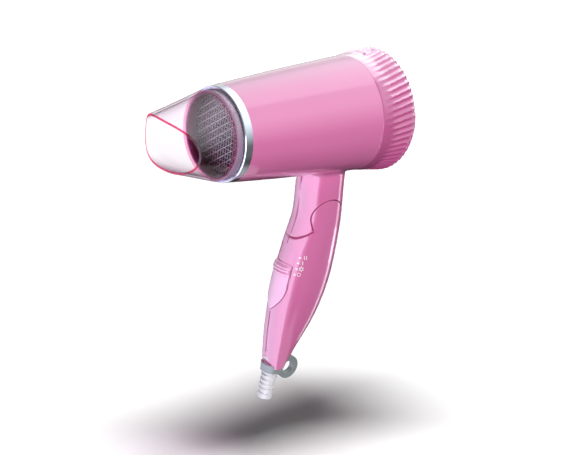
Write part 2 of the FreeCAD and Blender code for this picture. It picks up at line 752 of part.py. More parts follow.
def make_switch(handle):
    proud = handle_solid(-dim("plate_proud")).common(slide_prism(0, dim("plate_top"), dim("plate_tip"), 14))
    floor = dim("track_radius") + dim("slide_gap")
    plate = proud.cut(track(floor, -60, 60))
    ridge_low = dim("plate_top") - dim("ridge_height")
    ridge_band = on_slide(box(-12, 14, -dim("plate_half_width") + 0.3, dim("plate_half_width") - 0.3,
                              ridge_low, dim("plate_top") - 0.4))
    ridge_band = ridge_band.common(slide_prism(-0.2, dim("plate_top"), dim("plate_tip"), 14))
    ridge = handle_solid(-dim("ridge_proud")).common(ridge_band).cut(track(floor, -60, 60))
    grooves = []
    for index in range(3):
        level = ridge_low + 1.9 + index * 1.7
        grooves.append(on_slide(box(-12, 14, -7, 7, level - 0.3, level + 0.3)))
    keep_inner = handle_solid(-dim("ridge_proud") + 0.7)
    for groove in grooves:
        ridge = ridge.cut(groove.cut(keep_inner))
    slider = single(plate.fuse(ridge))
    keep(feature("switch_slider", slider))
    post = on_slide(box(0.5, 17.0, -POST_HALF, POST_HALF, POST_LOW, POST_HIGH))
    foot = on_slide(box(12.8, 14.2, -4.0, 4.0, POST_LOW - 1, POST_HIGH + 1))
    carriage = single(post.fuse(foot).cut(slider).common(track(floor, -60, 60)))
    keep(feature("switch_carriage", carriage))


def make_switch_block():
    travel = dim("slide_travel")
    gap = dim("slide_gap")
    low = POST_LOW - 5
    high = POST_HIGH + travel + 5
    block = box(14.8, 24.0, -6.0, 6.0, low, high)
    well = box(10, 19.5, -POST_HALF - gap, POST_HALF + gap, POST_LOW - gap, POST_HIGH + travel + gap)
    block = on_slide(block.cut(well))
    keep(feature("switch_body", block))
    blades = []
    for index in range(4):
        level = low + 4 + index * (high - low - 8) / 3
        blade = box(24.0, 28.0, -0.4 - 2.5 * (-1) ** index, 0.4 - 2.5 * (-1) ** index, level - 1.2, level + 1.2)
        blades.append(on_slide(blade))
    keep(feature("switch_terminals", Part.makeCompound(blades)))


def guard_frame(shape):
    """Places a shape drawn downward from the origin onto the cord guard's leaning line."""
    return leaned(shape, dim("guard_lean"), dim("guard_x"), dim("guard_z"))


FIRST_SLOT = 8.0
SLOT_PITCH = 3.6
END_BAND = 2.4


def make_guard():
    radius = dim("guard_radius")
    bore = dim("cord_bore")
    length = dim("guard_length")
    body = Part.makeCone(radius * 0.86, radius, length, V(0, 0, -length), Z_AXIS)
    body = body.fuse(Part.makeCylinder(radius, 9, V(0, 0, -1), Z_AXIS))
    body = body.fuse(Part.makeCylinder(radius + 1.6, 2, V(0, 0, 4.5), Z_AXIS))
    slots = []
    slot_count = int((length - FIRST_SLOT - END_BAND) / SLOT_PITCH) + 1
    for index in range(slot_count):
        level = -FIRST_SLOT - index * SLOT_PITCH
        for side in (0, 180):
            slot = box(-0.4, 10, -10, 10, level - 0.8, level + 0.8)
            slot = slot.cut(Part.makeCylinder(bore + 0.9, 4, V(0, 0, level - 2), Z_AXIS))
            slot.rotate(V(0, 0, 0), Z_AXIS, side + 90 * (index % 2))
            slots.append(slot.cut(box(-0.6, 0.6, -12, 12, level - 2, level + 2)))
    for slot in slots:
        body = body.cut(slot)
    body = body.cut(Part.makeCylinder(bore, length + 20, V(0, 0, -length - 5), Z_AXIS))
    keep(feature("cord_guard", guard_frame(single(body))))


def loop_solid():
    """The grey end piece: a collar round the cord guard and the flat hanging loop behind it."""
    x = dim("loop_x")
    z = dim("loop_z")
    half = dim("loop_half_width")
    ring = rod_y(x, z, dim("loop_radius"), -half, half)
    stem = box(x - 4.8, x + 1.5, -half, half, z + 2, z + 14)
    anchor = box(x - 4.8, x - 1.5, -half - 2, half + 2, z + 11, z + 13.5)
    collar = guard_frame(Part.makeCone(dim("collar_ring") - 0.8, dim("collar_ring"), 6.2, V(0, 0, -5.6), Z_AXIS))
    web = box(dim("guard_x") + 4, x, -half, half, z + 4.6, z + 8.2)
    solid = ring.fuse(web).fuse(stem).fuse(anchor)
    solid = solid.cut(rod_y(x, z, dim("loop_hole"), -20, 20))
    solid = solid.fuse(collar)
    return solid.cut(guard_frame(Part.makeCylinder(dim("guard_radius"), 60, V(0, 0, -30), Z_AXIS)))


def make_grips(handle, hollow):
    grip_zone = seam_prism(dim("gap"))
    wall = dim("wall")
    body = handle.common(grip_zone)
    shell = body.cut(hollow)
    lining = hollow.common(grip_zone).cut(seam_prism(dim("gap") + wall * 0.8))
    lining = lining.common(box(-60, 60, -40, 40, 20, 80))
    shell = shell.fuse(lining)
    top = dim("plate_top") + dim("slide_travel")
    gap = dim("slide_gap")
    floor = dim("track_radius")
    low = dim("plate_tip")
    tub_top = top + 2.3
    tub = track(floor, low - 3, tub_top).cut(track(floor - 1.4, low - 5, top + 5))
    tub = tub.common(on_slide(box(-12, 9, -10.4, 10.4, low - 3, tub_top))).common(body)
    recess = slide_prism(gap, top, low, 14).cut(track(floor, -60, 60))
    slot = on_slide(box(-5, 12, -POST_HALF - gap, POST_HALF + gap, POST_LOW - gap,
                        POST_HIGH + dim("slide_travel") + gap))
    skirt = slide_prism(gap + 1.2, top, low, 14).common(body).cut(track(floor, -60, 60))
    shell = shell.fuse(skirt).fuse(tub).cut(recess).cut(slot)
    inside = hollow.common(grip_zone)
    for x, z in GRIP_BOSSES:
        shell = shell.fuse(boss_pair(x, z, inside))
    for x, z in GRIP_BOSSES:
        shell = drill(shell, x, z)
    pin_x = dim("pin_x")
    pin_z = dim("pin_z")
    knuckle = dim("knuckle_radius")
    washer_face = dim("lug_half_width") + gap + dim("washer_thickness")
    knuckles = rod_y(pin_x, pin_z, knuckle, -14, 14).common(handle)
    shell = shell.fuse(knuckles)
    above = box(pin_x, pin_x + 9, -20, 20, pin_z, pin_z + 12).cut(rod_y(pin_x, pin_z, knuckle, -20, 20))
    shell = shell.cut(above)
    notch = box(pin_x - knuckle - 0.5, pin_x + 12, -washer_face, washer_face, pin_z - 4.6, pin_z + 12)
    shell = shell.cut(notch)
    shell = shell.cut(rod_y(pin_x, pin_z, dim("pin_radius"), -dim("pin_half_length"), dim("pin_half_length")))
    shell = shell.cut(box(-1.0, 11.0, -5, 5, 55, 70))
    guard_hole = guard_frame(Part.makeCylinder(dim("guard_radius"), 14, V(0, 0, -6), Z_AXIS))
    shell = shell.cut(guard_hole).cut(loop_solid())
    shell = shell.cut(guard_frame(Part.makeCylinder(dim("guard_radius") + 1.6, 2, V(0, 0, 4.5), Z_AXIS)))
    keep(feature("grip_left", single(shell.common(half_space(-1)))))
    keep(feature("grip_right", single(shell.common(half_space(1)))))
    keep(feature("grip_screws", Part.makeCompound([screw(x, z) for x, z in GRIP_BOSSES])))
    keep(feature("hanging_loop", single(loop_solid())))


def make_hinge():
    pin = bound_cylinder("hinge_pin", "dims.pin_radius", "2 * dims.pin_half_length", "dims.pin_x",
                         "-dims.pin_half_length", "dims.pin_z", X_AXIS, -90)
    pin.Label = "hinge_pin"
    keep(pin)
    inner_face = dim("lug_half_width") + dim("slide_gap")
    washers = []
    for start in (inner_face, -inner_face - dim("washer_thickness")):
        ring = rod_y(dim("pin_x"), dim("pin_z"), dim("knuckle_radius") - 0.1, start, start + dim("washer_thickness"))
        washers.append(ring.cut(rod_y(dim("pin_x"), dim("pin_z"), dim("pin_radius"), -20, 20)))
    keep(feature("hinge_washers", Part.makeCompound(washers)))


CLAMP_SCREW_X = -10.9


def make_clamp():
    bar = box(-22.4, -8.2, 3.6, 5.6, -57.0, -51.0)
    hole = rod_y(CLAMP_SCREW_X, -54.0, SCREW_RADIUS, -5, 10)
    jaw = guard_frame(Part.makeCylinder(dim("cord_bore"), 30, V(0, 0, 0), Z_AXIS))
    keep(feature("cord_clamp", single(bar.cut(hole).cut(jaw))))
    shank = rod_y(CLAMP_SCREW_X, -54.0, SCREW_RADIUS, -5, 5.6)
    head = rod_y(CLAMP_SCREW_X, -54.0, 2.3, 5.6, 7.0)
    keep(feature("clamp_screw", shank.fuse(head)))


def wire_path(points, radius):
    """A round insulated wire: straight runs with round joints."""
    spots = [V(*point) for point in points]
    pieces = []
    for start, end in zip(spots, spots[1:]):
        run = end - start
        pieces.append(Part.makeCylinder(radius, run.Length, start, run))
    for spot in spots[1:-1]:
        pieces.append(Part.makeSphere(radius, spot))
    return pieces[0].multiFuse(pieces[1:])


LEAD_RADIUS = 0.9


def make_leads():
    duct_bottom = dim("axis_height") - dim("duct_radius") - LEAD_RADIUS - 0.2
    head = []
    grip = []
    for side in (-1, 1):
        head.append(wire_path([
            (6, 3 * side, dim("pin_z") + 17.5), (6, 3 * side, duct_bottom - 0.4),
            (dim("sleeve_end_x") - 2, 3 * side, duct_bottom + 0.1),
            (dim("sleeve_end_x") - 6, 3 * side, duct_bottom + 3.5),
        ], LEAD_RADIUS))
        grip.append(wire_path([
            (5.5, 2.6 * side, -6), (10, 3.4 * side, 4), (10, 3.4 * side, 18), (4.5, 3.4 * side, 30),
            (5, 3 * side, 44),
        ], LEAD_RADIUS))
    keep(feature("head_leads", Part.makeCompound(head)))
    keep(feature("grip_leads", Part.makeCompound(grip)))


# ---------------------------------------------------------------- build

handle_outer = handle_solid(0)
handle_inner = handle_solid(dim("wall"), dim("wall"))
make_housings(handle_outer, handle_inner)
make_rear_cover()
make_rear_grille()
make_filter()
make_trim_ring()
make_front_grille()
make_collar()
make_nozzle()
make_sleeve()
make_heater()
make_safety_parts()
make_motor()
make_rectifier()
make_duct()
make_fan()
make_switch(handle_outer)
make_switch_block()
make_guard()
make_grips(handle_outer, handle_inner)
make_hinge()
make_clamp()
make_leads()
doc.recompute()

os.makedirs("parts", exist_ok=True)
for obj in parts:
    if "Invalid" in obj.State or "Error" in obj.State:
        raise RuntimeError("not rebuilt: " + obj.Label)
    shape = obj.Shape
    if shape.isNull() or not shape.isValid() or not shape.Solids:
        raise RuntimeError("bad shape: " + obj.Label)
    shape.exportStep("parts/%s.step" % obj.Label)
    bounds = shape.BoundBox
    print("%-20s %2d solids %9.0f mm3  x %6.1f %6.1f  y %6.1f %6.1f  z %6.1f %6.1f" % (
        obj.Label, len(shape.Solids), shape.Volume, bounds.XMin, bounds.XMax, bounds.YMin, bounds.YMax,
        bounds.ZMin, bounds.ZMax))
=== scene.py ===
import math
import bmesh
import bpy
from mathutils import Euler, Matrix, Vector


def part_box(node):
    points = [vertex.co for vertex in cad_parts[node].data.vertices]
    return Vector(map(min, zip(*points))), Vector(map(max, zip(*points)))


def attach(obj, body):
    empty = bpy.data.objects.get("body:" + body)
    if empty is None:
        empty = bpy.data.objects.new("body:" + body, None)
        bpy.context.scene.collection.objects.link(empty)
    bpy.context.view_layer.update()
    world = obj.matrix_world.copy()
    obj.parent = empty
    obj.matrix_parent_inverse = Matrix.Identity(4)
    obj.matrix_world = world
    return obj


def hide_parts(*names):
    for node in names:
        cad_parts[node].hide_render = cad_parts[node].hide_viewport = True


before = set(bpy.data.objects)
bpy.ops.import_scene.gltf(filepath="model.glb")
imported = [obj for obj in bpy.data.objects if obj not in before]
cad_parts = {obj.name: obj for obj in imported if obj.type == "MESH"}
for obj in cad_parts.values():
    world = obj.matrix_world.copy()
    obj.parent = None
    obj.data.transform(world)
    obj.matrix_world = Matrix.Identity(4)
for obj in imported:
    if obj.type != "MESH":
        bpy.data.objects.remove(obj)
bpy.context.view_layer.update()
scene = bpy.context.scene

# ------------------------------------------------------------ sizes, in metres

MM = 0.001
WALL = 2.2 * MM
COVER_LOW, COVER_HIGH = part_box("rear_cover")
COLLAR_LOW, COLLAR_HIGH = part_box("nozzle_collar")
HOUSING_LOW, HOUSING_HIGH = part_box("housing_left")
GRILLE_LOW, GRILLE_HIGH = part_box("front_grille")
RING_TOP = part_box("front_trim_ring")[1].z

AXIS_Z = (COLLAR_LOW.z + COLLAR_HIGH.z) / 2
BARREL_FRONT = HOUSING_LOW.x
BARREL_FRONT_RADIUS = RING_TOP - AXIS_Z
BARREL_BULGE = 0.6 * MM
SEAM_X = COVER_LOW.x
SEAM_RADIUS = HOUSING_HIGH.z - AXIS_Z
COVER_MAX_X = 49.0 * MM
COVER_MAX_RADIUS = COVER_HIGH.z - AXIS_Z
COVER_SHOULDER = (54.5 * MM, 39.5 * MM)
INTAKE_RADIUS = 32.5 * MM

# Handle sections from the top down: height, front x, back x, half width, in millimetres.
HANDLE = [
    (92.0, -10.0, 25.3, 14.5), (72.0, -10.0, 25.6, 14.5), (56.0, -10.2, 26.1, 14.5),
    (42.0, -12.2, 26.4, 14.5), (30.0, -16.35, 26.0, 14.5), (15.0, -20.6, 24.8, 14.5),
    (-4.5, -24.9, 21.6, 14.5), (-20.0, -26.8, 16.9, 13.9), (-36.0, -27.7, 9.2, 12.8),
    (-52.0, -27.95, -1.4, 11.1), (-64.0, -27.2, -9.0, 9.7), (-70.4, -26.6, -12.6, 9.0),
]
HANDLE_POWER = 2.3


# ------------------------------------------------------------ mesh helpers

def finish_piece(bm, name, body, material, replaces=(), smooth=35):
    """Turns a bmesh into a piece that rides on a body, smooth where its faces turn gently."""
    mesh = bpy.data.meshes.new(name)
    bm.to_mesh(mesh)
    bm.free()
    piece = bpy.data.objects.new(name, mesh)
    scene.collection.objects.link(piece)
    for finish in material if isinstance(material, (list, tuple)) else [material]:
        mesh.materials.append(finish)
    mesh.shade_smooth()
    if smooth:
        mesh.set_sharp_from_angle(angle=math.radians(smooth))
    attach(piece, body)
    if replaces:
        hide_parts(*replaces)
    return piece


def turn_profile(points, steps, closed=False):
    """Revolves (x, radius) points about the barrel's axis."""
    bm = bmesh.new()
    ring = [bm.verts.new((x, 0.0, radius)) for x, radius in points]
    pairs = list(zip(ring, ring[1:]))
    if closed:
        pairs.append((ring[-1], ring[0]))
    edges = [bm.edges.new(pair) for pair in pairs]
    bmesh.ops.spin(bm, geom=ring + edges, cent=(0, 0, 0), axis=(1, 0, 0), angle=2 * math.pi,
                   steps=steps, use_merge=True)
    bmesh.ops.translate(bm, vec=(0, 0, AXIS_Z), verts=bm.verts)
    bmesh.ops.recalc_face_normals(bm, faces=bm.faces)
    return bm


def surface_grid(columns, rows, place, close_columns=True, close_rows=False):
    """A quad sheet whose corners are put by place(u, v), u and v running from 0 to 1, closed at its joins."""
    bm = bmesh.new()
    bmesh.ops.create_grid(bm, x_segments=columns, y_segments=rows, size=1)
    row_of = {}
    for face in bm.faces:
        row_of[face] = int((face.calc_center_median().y + 1) / 2 * rows)
    for face, row in row_of.items():
        face.material_index = row
    for vert in bm.verts:
        u = round((vert.co.x + 1) / 2 * columns) / columns
        v = round((vert.co.y + 1) / 2 * rows) / rows
        if close_columns and u == 1:
            u = 0
        if close_rows and v == 1:
            v = 0
        vert.co = place(u, v)
    bmesh.ops.remove_doubles(bm, verts=bm.verts, dist=0.000002)
    bmesh.ops.dissolve_degenerate(bm, edges=bm.edges, dist=0.000002)
    bmesh.ops.recalc_face_normals(bm, faces=bm.faces)
    return bm


def power_ring(half_y, half_z, power, turn):
    """A point of a squared-off circle at an angle."""
    across = math.cos(turn)
    up = math.sin(turn)
    return (half_y * math.copysign(abs(across) ** (2 / power), across),
            half_z * math.copysign(abs(up) ** (2 / power), up))


def through(xs, ys, x):
    """A smooth curve through the points, level-ended: the value at x. The xs fall from first to last."""
    for index in range(len(xs) - 1):
        if x >= xs[index + 1] or index == len(xs) - 2:
            break
    before = max(0, index - 1)
    after = min(len(xs) - 1, index + 2)
    span = xs[index + 1] - xs[index]
    slope_a = (ys[index + 1] - ys[before]) / (xs[index + 1] - xs[before])
    slope_b = (ys[after] - ys[index]) / (xs[after] - xs[index])
    t = min(1.0, max(0.0, (x - xs[index]) / span))
    return ((2 * t ** 3 - 3 * t ** 2 + 1) * ys[index] + (t ** 3 - 2 * t ** 2 + t) * span * slope_a
            + (3 * t ** 2 - 2 * t ** 3) * ys[index + 1] + (t ** 3 - t ** 2) * span * slope_b)


def step_up(value, low, high):
    """0 below low, 1 above high, and smooth between."""
    share = min(1.0, max(0.0, (value - low) / (high - low)))
    return share * share * (3 - 2 * share)


def arc_through(start, middle, end, count):
    """Points on the circle through three (x, radius) points, from the first to the last."""
    ax, ay = start
    bx, by = middle
    cx, cy = end
    a_squared = ax * ax + ay * ay
    b_squared = bx * bx + by * by
    c_squared = cx * cx + cy * cy
    turn = 2 * (ax * (by - cy) + bx * (cy - ay) + cx * (ay - by))
    ux = (a_squared * (by - cy) + b_squared * (cy - ay) + c_squared * (ay - by)) / turn
    uy = (a_squared * (cx - bx) + b_squared * (ax - cx) + c_squared * (bx - ax)) / turn
    first = math.atan2(ay - uy, ax - ux)
    last = math.atan2(cy - uy, cx - ux)
    reach = math.hypot(ax - ux, ay - uy)
    return [(ux + reach * math.cos(first + (last - first) * i / count),
             uy + reach * math.sin(first + (last - first) * i / count)) for i in range(count + 1)]


# ------------------------------------------------------------ finishes

def node(tree, kind, **settings):
    """A new shader node with its properties or sockets set."""
    made = tree.nodes.new(kind)
    for key, value in settings.items():
        if hasattr(made, key):
            setattr(made, key, value)
        else:
            made.inputs[key.replace("_", " ")].default_value = value
    return made


def blank_material(name):
    """A material with nothing but its output."""
    material = bpy.data.materials.new(name)
    material.use_nodes = True
    tree = material.node_tree
    tree.nodes.clear()
    output = tree.nodes.new("ShaderNodeOutputMaterial")
    return material, tree, output


def srgb(red, green, blue):
    """A linear colour with alpha, from everyday 0-255 values."""
    linear = []
    for value in (red, green, blue):
        share = value / 255
        linear.append(share / 12.92 if share <= 0.04045 else ((share + 0.055) / 1.055) ** 2.4)
    return (*linear, 1.0)


COAT_ROUGHNESS = 0.04
GLOSS_DRIFT = 0.04
DRIFT_SCALE = 22.0
GRAIN_DEPTH = 0.1 * MM


def moulded(name, colour, roughness=0.35, coat=0.0, metallic=0.0, grain=0.02, grain_size=0.4,
            tint=0.04, specular=0.5):
    """Moulded plastic or metal: a fine grain in the surface and slight drift of colour and gloss."""
    material, tree, output = blank_material(name)
    link = tree.links.new
    surface = node(tree, "ShaderNodeBsdfPrincipled")
    surface.inputs["Metallic"].default_value = metallic
    surface.inputs["Specular IOR Level"].default_value = specular
    surface.inputs["Coat Weight"].default_value = coat
    surface.inputs["Coat Roughness"].default_value = COAT_ROUGHNESS
    place = node(tree, "ShaderNodeTexCoord")
    cloud = node(tree, "ShaderNodeTexNoise")
    cloud.inputs["Scale"].default_value = DRIFT_SCALE
    cloud.inputs["Detail"].default_value = 4.0
    link(place.outputs["Object"], cloud.inputs["Vector"])
    shade = node(tree, "ShaderNodeMix", data_type="RGBA")
    shade.inputs[6].default_value = tuple(c * (1 - tint) for c in colour[:3]) + (1.0,)
    shade.inputs[7].default_value = tuple(min(1.0, c * (1 + tint)) for c in colour[:3]) + (1.0,)
    link(cloud.outputs["Fac"], shade.inputs[0])
    link(shade.outputs[2], surface.inputs["Base Color"])
    gloss = node(tree, "ShaderNodeMapRange")
    gloss.inputs["To Min"].default_value = max(0.02, roughness - GLOSS_DRIFT)
    gloss.inputs["To Max"].default_value = roughness + GLOSS_DRIFT
    link(cloud.outputs["Fac"], gloss.inputs["Value"])
    link(gloss.outputs["Result"], surface.inputs["Roughness"])
    fine = node(tree, "ShaderNodeTexNoise")
    fine.inputs["Scale"].default_value = 1.0 / (grain_size * MM)
    fine.inputs["Detail"].default_value = 2.0
    link(place.outputs["Object"], fine.inputs["Vector"])
    bump = node(tree, "ShaderNodeBump")
    bump.inputs["Strength"].default_value = grain
    bump.inputs["Distance"].default_value = GRAIN_DEPTH
    link(fine.outputs["Fac"], bump.inputs["Height"])
    link(bump.outputs["Normal"], surface.inputs["Normal"])
    link(surface.outputs["BSDF"], output.inputs["Surface"])
    return material


PINK = srgb(228, 120, 178)
finishes = {
    "shell_pink": moulded("shell_pink", PINK, roughness=0.3, coat=1.0, specular=0.2),
    # The cover's pink is a darker copy of the shell's pink: painted shade for the ribbed cover, which is the
    # same plastic.
    "cover_pink": moulded("cover_pink", srgb(198, 88, 148), roughness=0.3, coat=1.0, specular=0.2),
    "slider_pink": moulded("slider_pink", srgb(240, 160, 206), roughness=0.3, coat=0.8),
    "silver_trim": moulded("silver_trim", srgb(152, 158, 164), roughness=0.14, metallic=1.0, tint=0.02),
    "dark_grille": moulded("dark_grille", srgb(74, 58, 62), roughness=0.4),
    "dark_mesh": moulded("dark_mesh", srgb(40, 38, 40), roughness=0.6),
    "black_plastic": moulded("black_plastic", srgb(38, 36, 38), roughness=0.45),
    "grey_plastic": moulded("grey_plastic", srgb(138, 148, 148), roughness=0.4),
    "grey_rubber": moulded("grey_rubber", srgb(236, 234, 238), roughness=0.5, grain=0.06),
    "mica": moulded("mica", srgb(176, 158, 118), roughness=0.35, tint=0.15, grain_size=2.0),
    "heater_wire": moulded("heater_wire", srgb(120, 112, 106), roughness=0.35, metallic=1.0),
    "steel": moulded("steel", srgb(176, 178, 180), roughness=0.28, metallic=1.0),
    "brass": moulded("brass", srgb(196, 160, 86), roughness=0.3, metallic=1.0),
    "circuit_board": moulded("circuit_board", srgb(150, 112, 60), roughness=0.5),
    "wire_sleeve": moulded("wire_sleeve", srgb(214, 214, 210), roughness=0.5),
    "pale_bar": moulded("pale_bar", srgb(150, 140, 156), roughness=0.3),
    # The parting line's dark pink is painted shade: it stands for the shade in the groove between the
    # handle's halves.
    "parting_line_shade": moulded("parting_line_shade", srgb(168, 74, 128), roughness=0.5),
    "collar_mauve": moulded("collar_mauve", srgb(156, 136, 154), roughness=0.35),
    "print_white": moulded("print_white", srgb(250, 244, 250), roughness=0.5),
}


def clear_finish(name="clear_plastic", face_on=(0.99, 0.965, 0.99), grazing=(0.34, 0.20, 0.29)):
    """Clear polished plastic: it passes nearly all light face on and less along its edges."""
    material, tree, output = blank_material(name)
    link = tree.links.new
    place = node(tree, "ShaderNodeTexCoord")
    flow = node(tree, "ShaderNodeTexNoise")
    flow.inputs["Scale"].default_value = 40.0
    flow.inputs["Detail"].default_value = 3.0
    link(place.outputs["Object"], flow.inputs["Vector"])
    ripple = node(tree, "ShaderNodeBump")
    ripple.inputs["Strength"].default_value = 0.05
    ripple.inputs["Distance"].default_value = 0.2 * MM
    link(flow.outputs["Fac"], ripple.inputs["Height"])
    facing = node(tree, "ShaderNodeLayerWeight")
    facing.inputs["Blend"].default_value = 0.5
    link(ripple.outputs["Normal"], facing.inputs["Normal"])
    depth = node(tree, "ShaderNodeMath", operation="POWER")
    depth.inputs[1].default_value = 4.0
    link(facing.outputs["Facing"], depth.inputs[0])
    colour = node(tree, "ShaderNodeMix", data_type="RGBA")
    colour.inputs[6].default_value = (*face_on, 1)
    colour.inputs[7].default_value = (*grazing, 1)
    link(depth.outputs[0], colour.inputs[0])
    through_it = node(tree, "ShaderNodeBsdfTransparent")
    link(colour.outputs[2], through_it.inputs["Color"])
    shine = node(tree, "ShaderNodeBsdfGlossy")
    polish = node(tree, "ShaderNodeMapRange")
    polish.inputs["To Min"].default_value = 0.02
    polish.inputs["To Max"].default_value = 0.06
    link(flow.outputs["Fac"], polish.inputs["Value"])
    link(polish.outputs["Result"], shine.inputs["Roughness"])
    link(ripple.outputs["Normal"], shine.inputs["Normal"])
    gloss = node(tree, "ShaderNodeMapRange")
    gloss.inputs["To Min"].default_value = 0.022
    gloss.inputs["To Max"].default_value = 0.14
    link(depth.outputs[0], gloss.inputs["Value"])
    mix = node(tree, "ShaderNodeMixShader")
    link(gloss.outputs["Result"], mix.inputs[0])
    link(through_it.outputs["BSDF"], mix.inputs[1])
    link(shine.outputs["BSDF"], mix.inputs[2])
    link(mix.outputs["Shader"], output.inputs["Surface"])
    return material


def outlet_edge_finish():
    """The nozzle's cut edge, where the tinted plastic glows red."""
    return clear_finish("nozzle_edge", face_on=(0.80, 0.03, 0.16), grazing=(0.70, 0.02, 0.12))


def plug_edge_finish():
    """The nozzle's inner edges, where the same tint shows pink."""
    return clear_finish("nozzle_plug_edge", face_on=(0.92, 0.42, 0.62), grazing=(0.75, 0.2, 0.42))


finishes["clear_plastic"] = clear_finish()

for cad_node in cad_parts.values():
    for holder in cad_node.material_slots:
        holder.material = finishes[holder.material.name.split(".")[0]]


# ------------------------------------------------------------ rear cover

RIBS = 58
RIB_DEPTH = 1.5 * MM
RIB_LEAN = -5.2
STEPS_PER_RIB = 8
RIB_START = 1.5 * MM
RIB_FULL = 15 * MM
SEAM_GAP = 0.02 * MM
SEAM_LIP = 0.3 * MM
RIM_DEPTH = 3.0 * MM


def make_cover():
    """The ribbed cover: slanted flutes with sharp crests that fade out at the seam and the intake."""
    shoulder_x, shoulder_radius = COVER_SHOULDER
    outer = [(SEAM_X + SEAM_GAP, SEAM_RADIUS - SEAM_LIP), (SEAM_X + SEAM_LIP, SEAM_RADIUS + SEAM_GAP)]
    for index in range(1, 13):
        share = index / 13
        outer.append((SEAM_X + (COVER_MAX_X - SEAM_X) * share,
                      SEAM_RADIUS + (COVER_MAX_RADIUS - SEAM_RADIUS) * share))
    middle = ((COVER_MAX_X + shoulder_x) / 2 + 1.0 * MM,
              (COVER_MAX_RADIUS + shoulder_radius) / 2 + 1.25 * MM)
    outer += arc_through((COVER_MAX_X, COVER_MAX_RADIUS), middle, COVER_SHOULDER, 9)
    for share in (0.25, 0.5, 0.75):
        outer.append((shoulder_x + (COVER_HIGH.x - shoulder_x) * share,
                      shoulder_radius + (INTAKE_RADIUS - shoulder_radius) * share))
    rim = [(COVER_HIGH.x - 0.4 * MM, INTAKE_RADIUS + 0.6 * MM), (COVER_HIGH.x, INTAKE_RADIUS + 0.15 * MM),
           (COVER_HIGH.x - 0.3 * MM, INTAKE_RADIUS), (COVER_HIGH.x - RIM_DEPTH, INTAKE_RADIUS)]
    inner = [(x - WALL, radius - WALL) for x, radius in reversed(outer[2:-1])]
    inner[0] = (COVER_HIGH.x - RIM_DEPTH - 0.2 * MM, INTAKE_RADIUS + 0.6 * MM)
    inner.append((SEAM_X + SEAM_GAP, SEAM_RADIUS - WALL))
    bm = turn_profile(outer + rim + inner, RIBS * STEPS_PER_RIB, closed=True)
    fluted = {(round(x, 6), round(radius, 6)) for x, radius in outer}
    for vert in bm.verts:
        radius = math.hypot(vert.co.y, vert.co.z - AXIS_Z)
        if (round(vert.co.x, 6), round(radius, 6)) not in fluted:
            continue
        x = vert.co.x
        depth = RIB_DEPTH * step_up(x, SEAM_X + RIB_START, SEAM_X + RIB_FULL)
        depth *= 1 - step_up(x, shoulder_x - 3.5 * MM, COVER_HIGH.x - 0.3 * MM)
        angle = math.atan2(vert.co.y, vert.co.z - AXIS_Z)
        phase = (angle * RIBS / (2 * math.pi) + (x - SEAM_X) * RIB_LEAN * RIBS / (2 * math.pi)) % 1.0
        scoop = 1 - (2 * phase - 1) ** 2
        shrink = 1 - depth * scoop / radius
        vert.co.y *= shrink
        vert.co.z = AXIS_Z + (vert.co.z - AXIS_Z) * shrink
    # The cover's darker pink is painted shade, not a colour of its own.
    return finish_piece(bm, "ribbed_cover", "head", finishes["cover_pink"], ["rear_cover"], 40)


make_cover()


# ------------------------------------------------------------ handle surface, in millimetres

HANDLE_Z = [section[0] for section in HANDLE]


def handle_section(z):
    """Middle x, half depth and half width of the handle at a height."""
    front = through(HANDLE_Z, [section[1] for section in HANDLE], z)
    back = through(HANDLE_Z, [section[2] for section in HANDLE], z)
    half = through(HANDLE_Z, [section[3] for section in HANDLE], z)
    return (front + back) / 2, (back - front) / 2, half


def handle_front(y, z):
    """The x of the handle's front at a distance from its middle and a height."""
    middle, depth, half = handle_section(z)
    share = min(1.0, abs(y) / half)
    return middle - depth * (1 - share ** HANDLE_POWER) ** (1 / HANDLE_POWER)


def handle_side(x, z):
    """Half width of the handle at a depth and height."""
    middle, depth, half = handle_section(z)
    share = min(1.0, abs(x - middle) / depth)
    return half * (1 - share ** HANDLE_POWER) ** (1 / HANDLE_POWER)


def barrel_radius(x):
    """Outer radius of the barrel, in millimetres."""
    front = BARREL_FRONT / MM
    share = (x - front) / (SEAM_X / MM - front)
    bulge = 4 * share * (1 - share) * BARREL_BULGE / MM
    return (BARREL_FRONT_RADIUS + (SEAM_RADIUS - BARREL_FRONT_RADIUS) * share) / MM + bulge


# ------------------------------------------------------------ neck fillet

FILLET_LEAST = 0.5
FILLET_EXTRA = 5.0
NECK_TOP = 88.0


